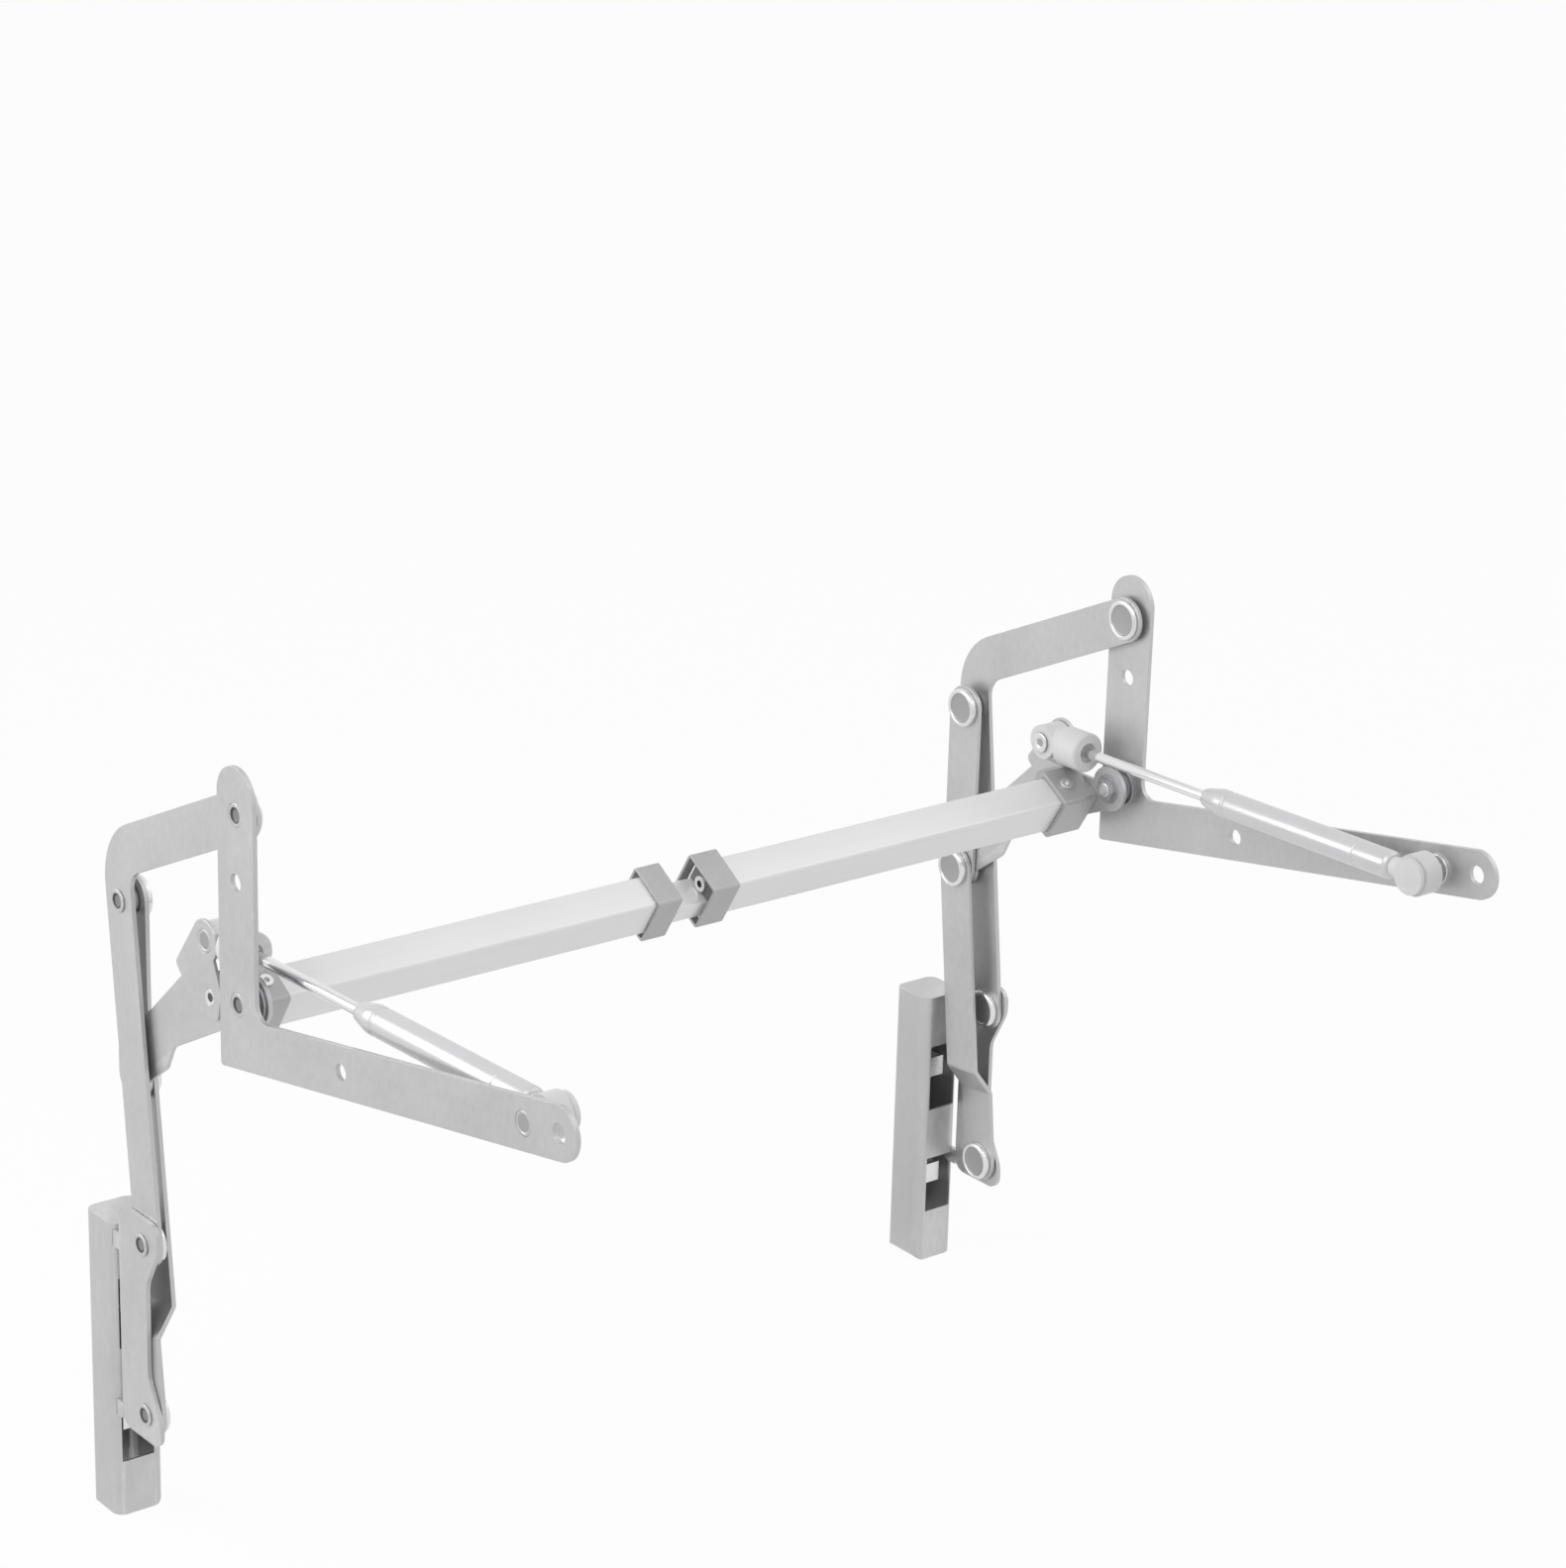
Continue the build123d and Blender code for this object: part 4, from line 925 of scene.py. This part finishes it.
class HINGE_OT_springs(Operator):
    """Gas springs: painted tube, polished rod and moulded ends"""
    bl_idname = "hinge.springs"
    bl_label = "Gas Springs"

    def execute(self, context):
        size = context.scene.hinge_spring
        for side, _ in SIDES:
            spots = side_pivots(side)
            front = Vector(spots["stud"])
            rear = Vector(spots["rear"])
            along = (rear - front).normalized()
            axis = (0.0, along.x, along.y)
            origin = (pivot(side, "spring_turn").x, front.x, front.y)
            end = (rear - front).length - size.tail
            start = end - size.tube
            shoulder = start + size.nose
            groove = shoulder + size.groove_start
            step = size.groove_step
            seam = end - size.seam_place
            half = size.seam_half
            outer, inner = size.radius, size.radius - size.wall
            tube = eased([
                (start, size.bore), (start, size.mouth), (start + size.throat_place, size.throat),
                (start + size.swell_place, size.swell), (shoulder, outer), (groove, outer),
                (groove + step, outer - size.groove), (groove + 2 * step, outer - size.groove),
                (groove + 3 * step, outer), (seam - 2 * half, outer), (seam - half, outer - size.seam),
                (seam + half, outer - size.seam), (seam + 2 * half, outer), (end - size.end_slope, outer),
                (end, outer - size.end_draw), (end, 0.0), (end - size.floor, 0.0), (end - size.floor, inner),
                (shoulder, inner), (shoulder, size.bore),
            ], size.roll_edge, 4, True)
            rod_end = start + size.rod_inside
            rod = eased([(size.rod_start, 0.0), (size.rod_start, size.rod), (rod_end, size.rod), (rod_end, 0.0)],
                        size.rod_edge)
            tube_node, rod_node = f"{side}_spring_tube", f"{side}_spring_rod"
            turned_piece(tube_node, tube_node + "_rolled", tube, origin, axis, "spring_silver", closed=True)
            for node in ("spring_guide", "spring_piston"):
                dressed_copy(f"{side}_{node}", f"{side}_{node}_turned", size.ring_edge)
            turned_piece(rod_node, rod_node + "_polished", rod, origin, axis, "polished_rod")
            for node in ("rod_end", "tube_end"):
                dressed_copy(f"{side}_{node}", f"{side}_{node}_moulded", shapes().moulded_edge)
        return {"FINISHED"}


class HINGE_OT_stage(Operator):
    """Pale floor, soft studio light and the camera"""
    bl_idname = "hinge.stage"
    bl_label = "Stage"

    def softbox(self, name, place, aim, size, power):
        """Square area lamp that looks at a point."""
        lamp = bpy.data.lights.new(name, "AREA")
        lamp.shape = "SQUARE"
        lamp.size = size
        lamp.energy = power
        box = bpy.data.objects.new(name, lamp)
        box.location = place
        box.rotation_euler = (Vector(aim) - Vector(place)).to_track_quat("-Z", "Y").to_euler()
        bpy.context.scene.collection.objects.link(box)

    def seen_share(self, tree):
        """1 for rays of the camera and for those that metal or glass sends back, 0 for the light itself."""
        rays = tree.nodes.new("ShaderNodeLightPath")
        share = rays.outputs["Is Camera Ray"]
        for kind in ("Is Glossy Ray", "Is Transmission Ray"):
            share = maths(tree, "MAXIMUM", share, rays.outputs[kind])
        return share

    def mixed(self, tree, share, first, second, leave):
        """Mix two shaders by a share into a tree's output."""
        mix = fresh(tree, "ShaderNodeMixShader", Fac=share)
        plug(tree, first, mix.inputs[1])
        plug(tree, second, mix.inputs[2])
        feed(tree, leave, Surface=mix.outputs["Shader"])

    def floor_material(self, base, whiteness):
        """Pale floor that shows almost white and keeps a faint shadow."""
        material = bpy.data.materials.new("Pale floor")
        material.use_nodes = True
        tree = material.node_tree
        shader = feed(tree, tree.nodes["Principled BSDF"], Base_Color=(*base, 1.0), Roughness=0.9,
                      Specular_IOR_Level=0.1)
        white = fresh(tree, "ShaderNodeEmission", Color=WHITE, Strength=1.0)
        share = maths(tree, "MULTIPLY", self.seen_share(tree), whiteness)
        self.mixed(tree, share, shader.outputs["BSDF"], white.outputs["Emission"], tree.nodes["Material Output"])
        return material

    def world(self, ambient):
        """Pale light all round, and white where the camera or a reflection looks past the floor."""
        world = bpy.data.worlds.new("Studio")
        world.use_nodes = True
        tree = world.node_tree
        tree.nodes.clear()
        leave = tree.nodes.new("ShaderNodeOutputWorld")
        light = fresh(tree, "ShaderNodeBackground", Color=WHITE, Strength=ambient)
        white = fresh(tree, "ShaderNodeBackground", Color=WHITE, Strength=1.0)
        self.mixed(tree, self.seen_share(tree), light.outputs["Background"], white.outputs["Background"], leave)
        bpy.context.scene.world = world

    def execute(self, context):
        stage = context.scene.hinge_stage
        low = START_BOUNDS[0]
        half = stage.floor_size / 2
        mesh = bpy.data.meshes.new("floor")
        level = low[2] - stage.floor_drop
        corners = [(-half, -half, level), (half, -half, level), (half, half, level), (-half, half, level)]
        mesh.from_pydata(corners, [], [(0, 1, 2, 3)])
        floor = new_object("floor", mesh)
        mesh.materials.append(self.floor_material(stage.floor, stage.whiteness))
        middle = (0.0, 0.0, 0.0)
        near_unit = (0.28, 0.0, 0.0)
        self.softbox("key", place=(1.6, 1.2, 2.2), aim=middle, size=2.2, power=stage.key_power)
        self.softbox("side", place=(0.95, -0.7, 0.45), aim=near_unit, size=0.6, power=stage.side_power)
        self.softbox("back", place=(-1.8, 1.0, 1.8), aim=middle, size=2.0, power=stage.back_power)
        self.world(stage.ambient)
        lens = bpy.data.cameras.new("camera")
        lens.lens = stage.lens
        lens.sensor_fit = "HORIZONTAL"
        lens.sensor_width = 36.0
        lens.clip_end = 100.0
        camera = bpy.data.objects.new("camera", lens)
        azimuth, elevation, roll = stage.azimuth, stage.elevation, stage.roll
        forward = Vector((-math.sin(azimuth) * math.cos(elevation), -math.cos(azimuth) * math.cos(elevation),
                          -math.sin(elevation)))
        right = Vector((-math.cos(azimuth), math.sin(azimuth), 0.0))
        up = right.cross(forward)
        tilted_right = right * math.cos(roll) + up * math.sin(roll)
        tilted_up = up * math.cos(roll) - right * math.sin(roll)
        turn = Matrix((tilted_right, tilted_up, -forward)).transposed().to_4x4()
        camera.matrix_world = Matrix.Translation(Vector(stage.place)) @ turn
        context.scene.collection.objects.link(camera)
        context.scene.camera = camera
        context.scene.view_settings.view_transform = "Standard"
        return {"FINISHED"}


class HINGE_PT_panel(Panel):
    """Sizes, finishes and building steps of the hinge"""
    bl_label = "Lift-up Hinge"
    bl_idname = "HINGE_PT_panel"
    bl_space_type = "VIEW_3D"
    bl_region_type = "UI"
    bl_category = "Hinge"

    def draw(self, context):
        for step in STEPS:
            self.layout.operator(step.bl_idname)
        for group in GROUPS:
            values = getattr(context.scene, group)
            box = self.layout.box()
            for name in values.bl_rna.properties.keys():
                if name not in ("rna_type", "name"):
                    box.prop(values, name)


GROUPS = {"hinge_finish": HingeFinish, "hinge_shapes": HingeShapes, "hinge_spring": HingeSpring,
          "hinge_bar": HingeBar, "hinge_stage": HingeStage}
STEPS = (HINGE_OT_sheets, HINGE_OT_rails, HINGE_OT_rivets, HINGE_OT_studs, HINGE_OT_washers, HINGE_OT_bar,
         HINGE_OT_springs, HINGE_OT_stage)
CLASSES = (*GROUPS.values(), *STEPS, HINGE_PT_panel)


def register():
    for item in CLASSES:
        bpy.utils.register_class(item)
    for name, group in GROUPS.items():
        setattr(bpy.types.Scene, name, PointerProperty(type=group))


def unregister():
    for name in GROUPS:
        delattr(bpy.types.Scene, name)
    for item in reversed(CLASSES):
        bpy.utils.unregister_class(item)


def main():
    """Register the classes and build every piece."""
    register()
    for step in STEPS:
        area, name = step.bl_idname.split(".")
        getattr(getattr(bpy.ops, area), name)()


if __name__ == "__main__":
    main()
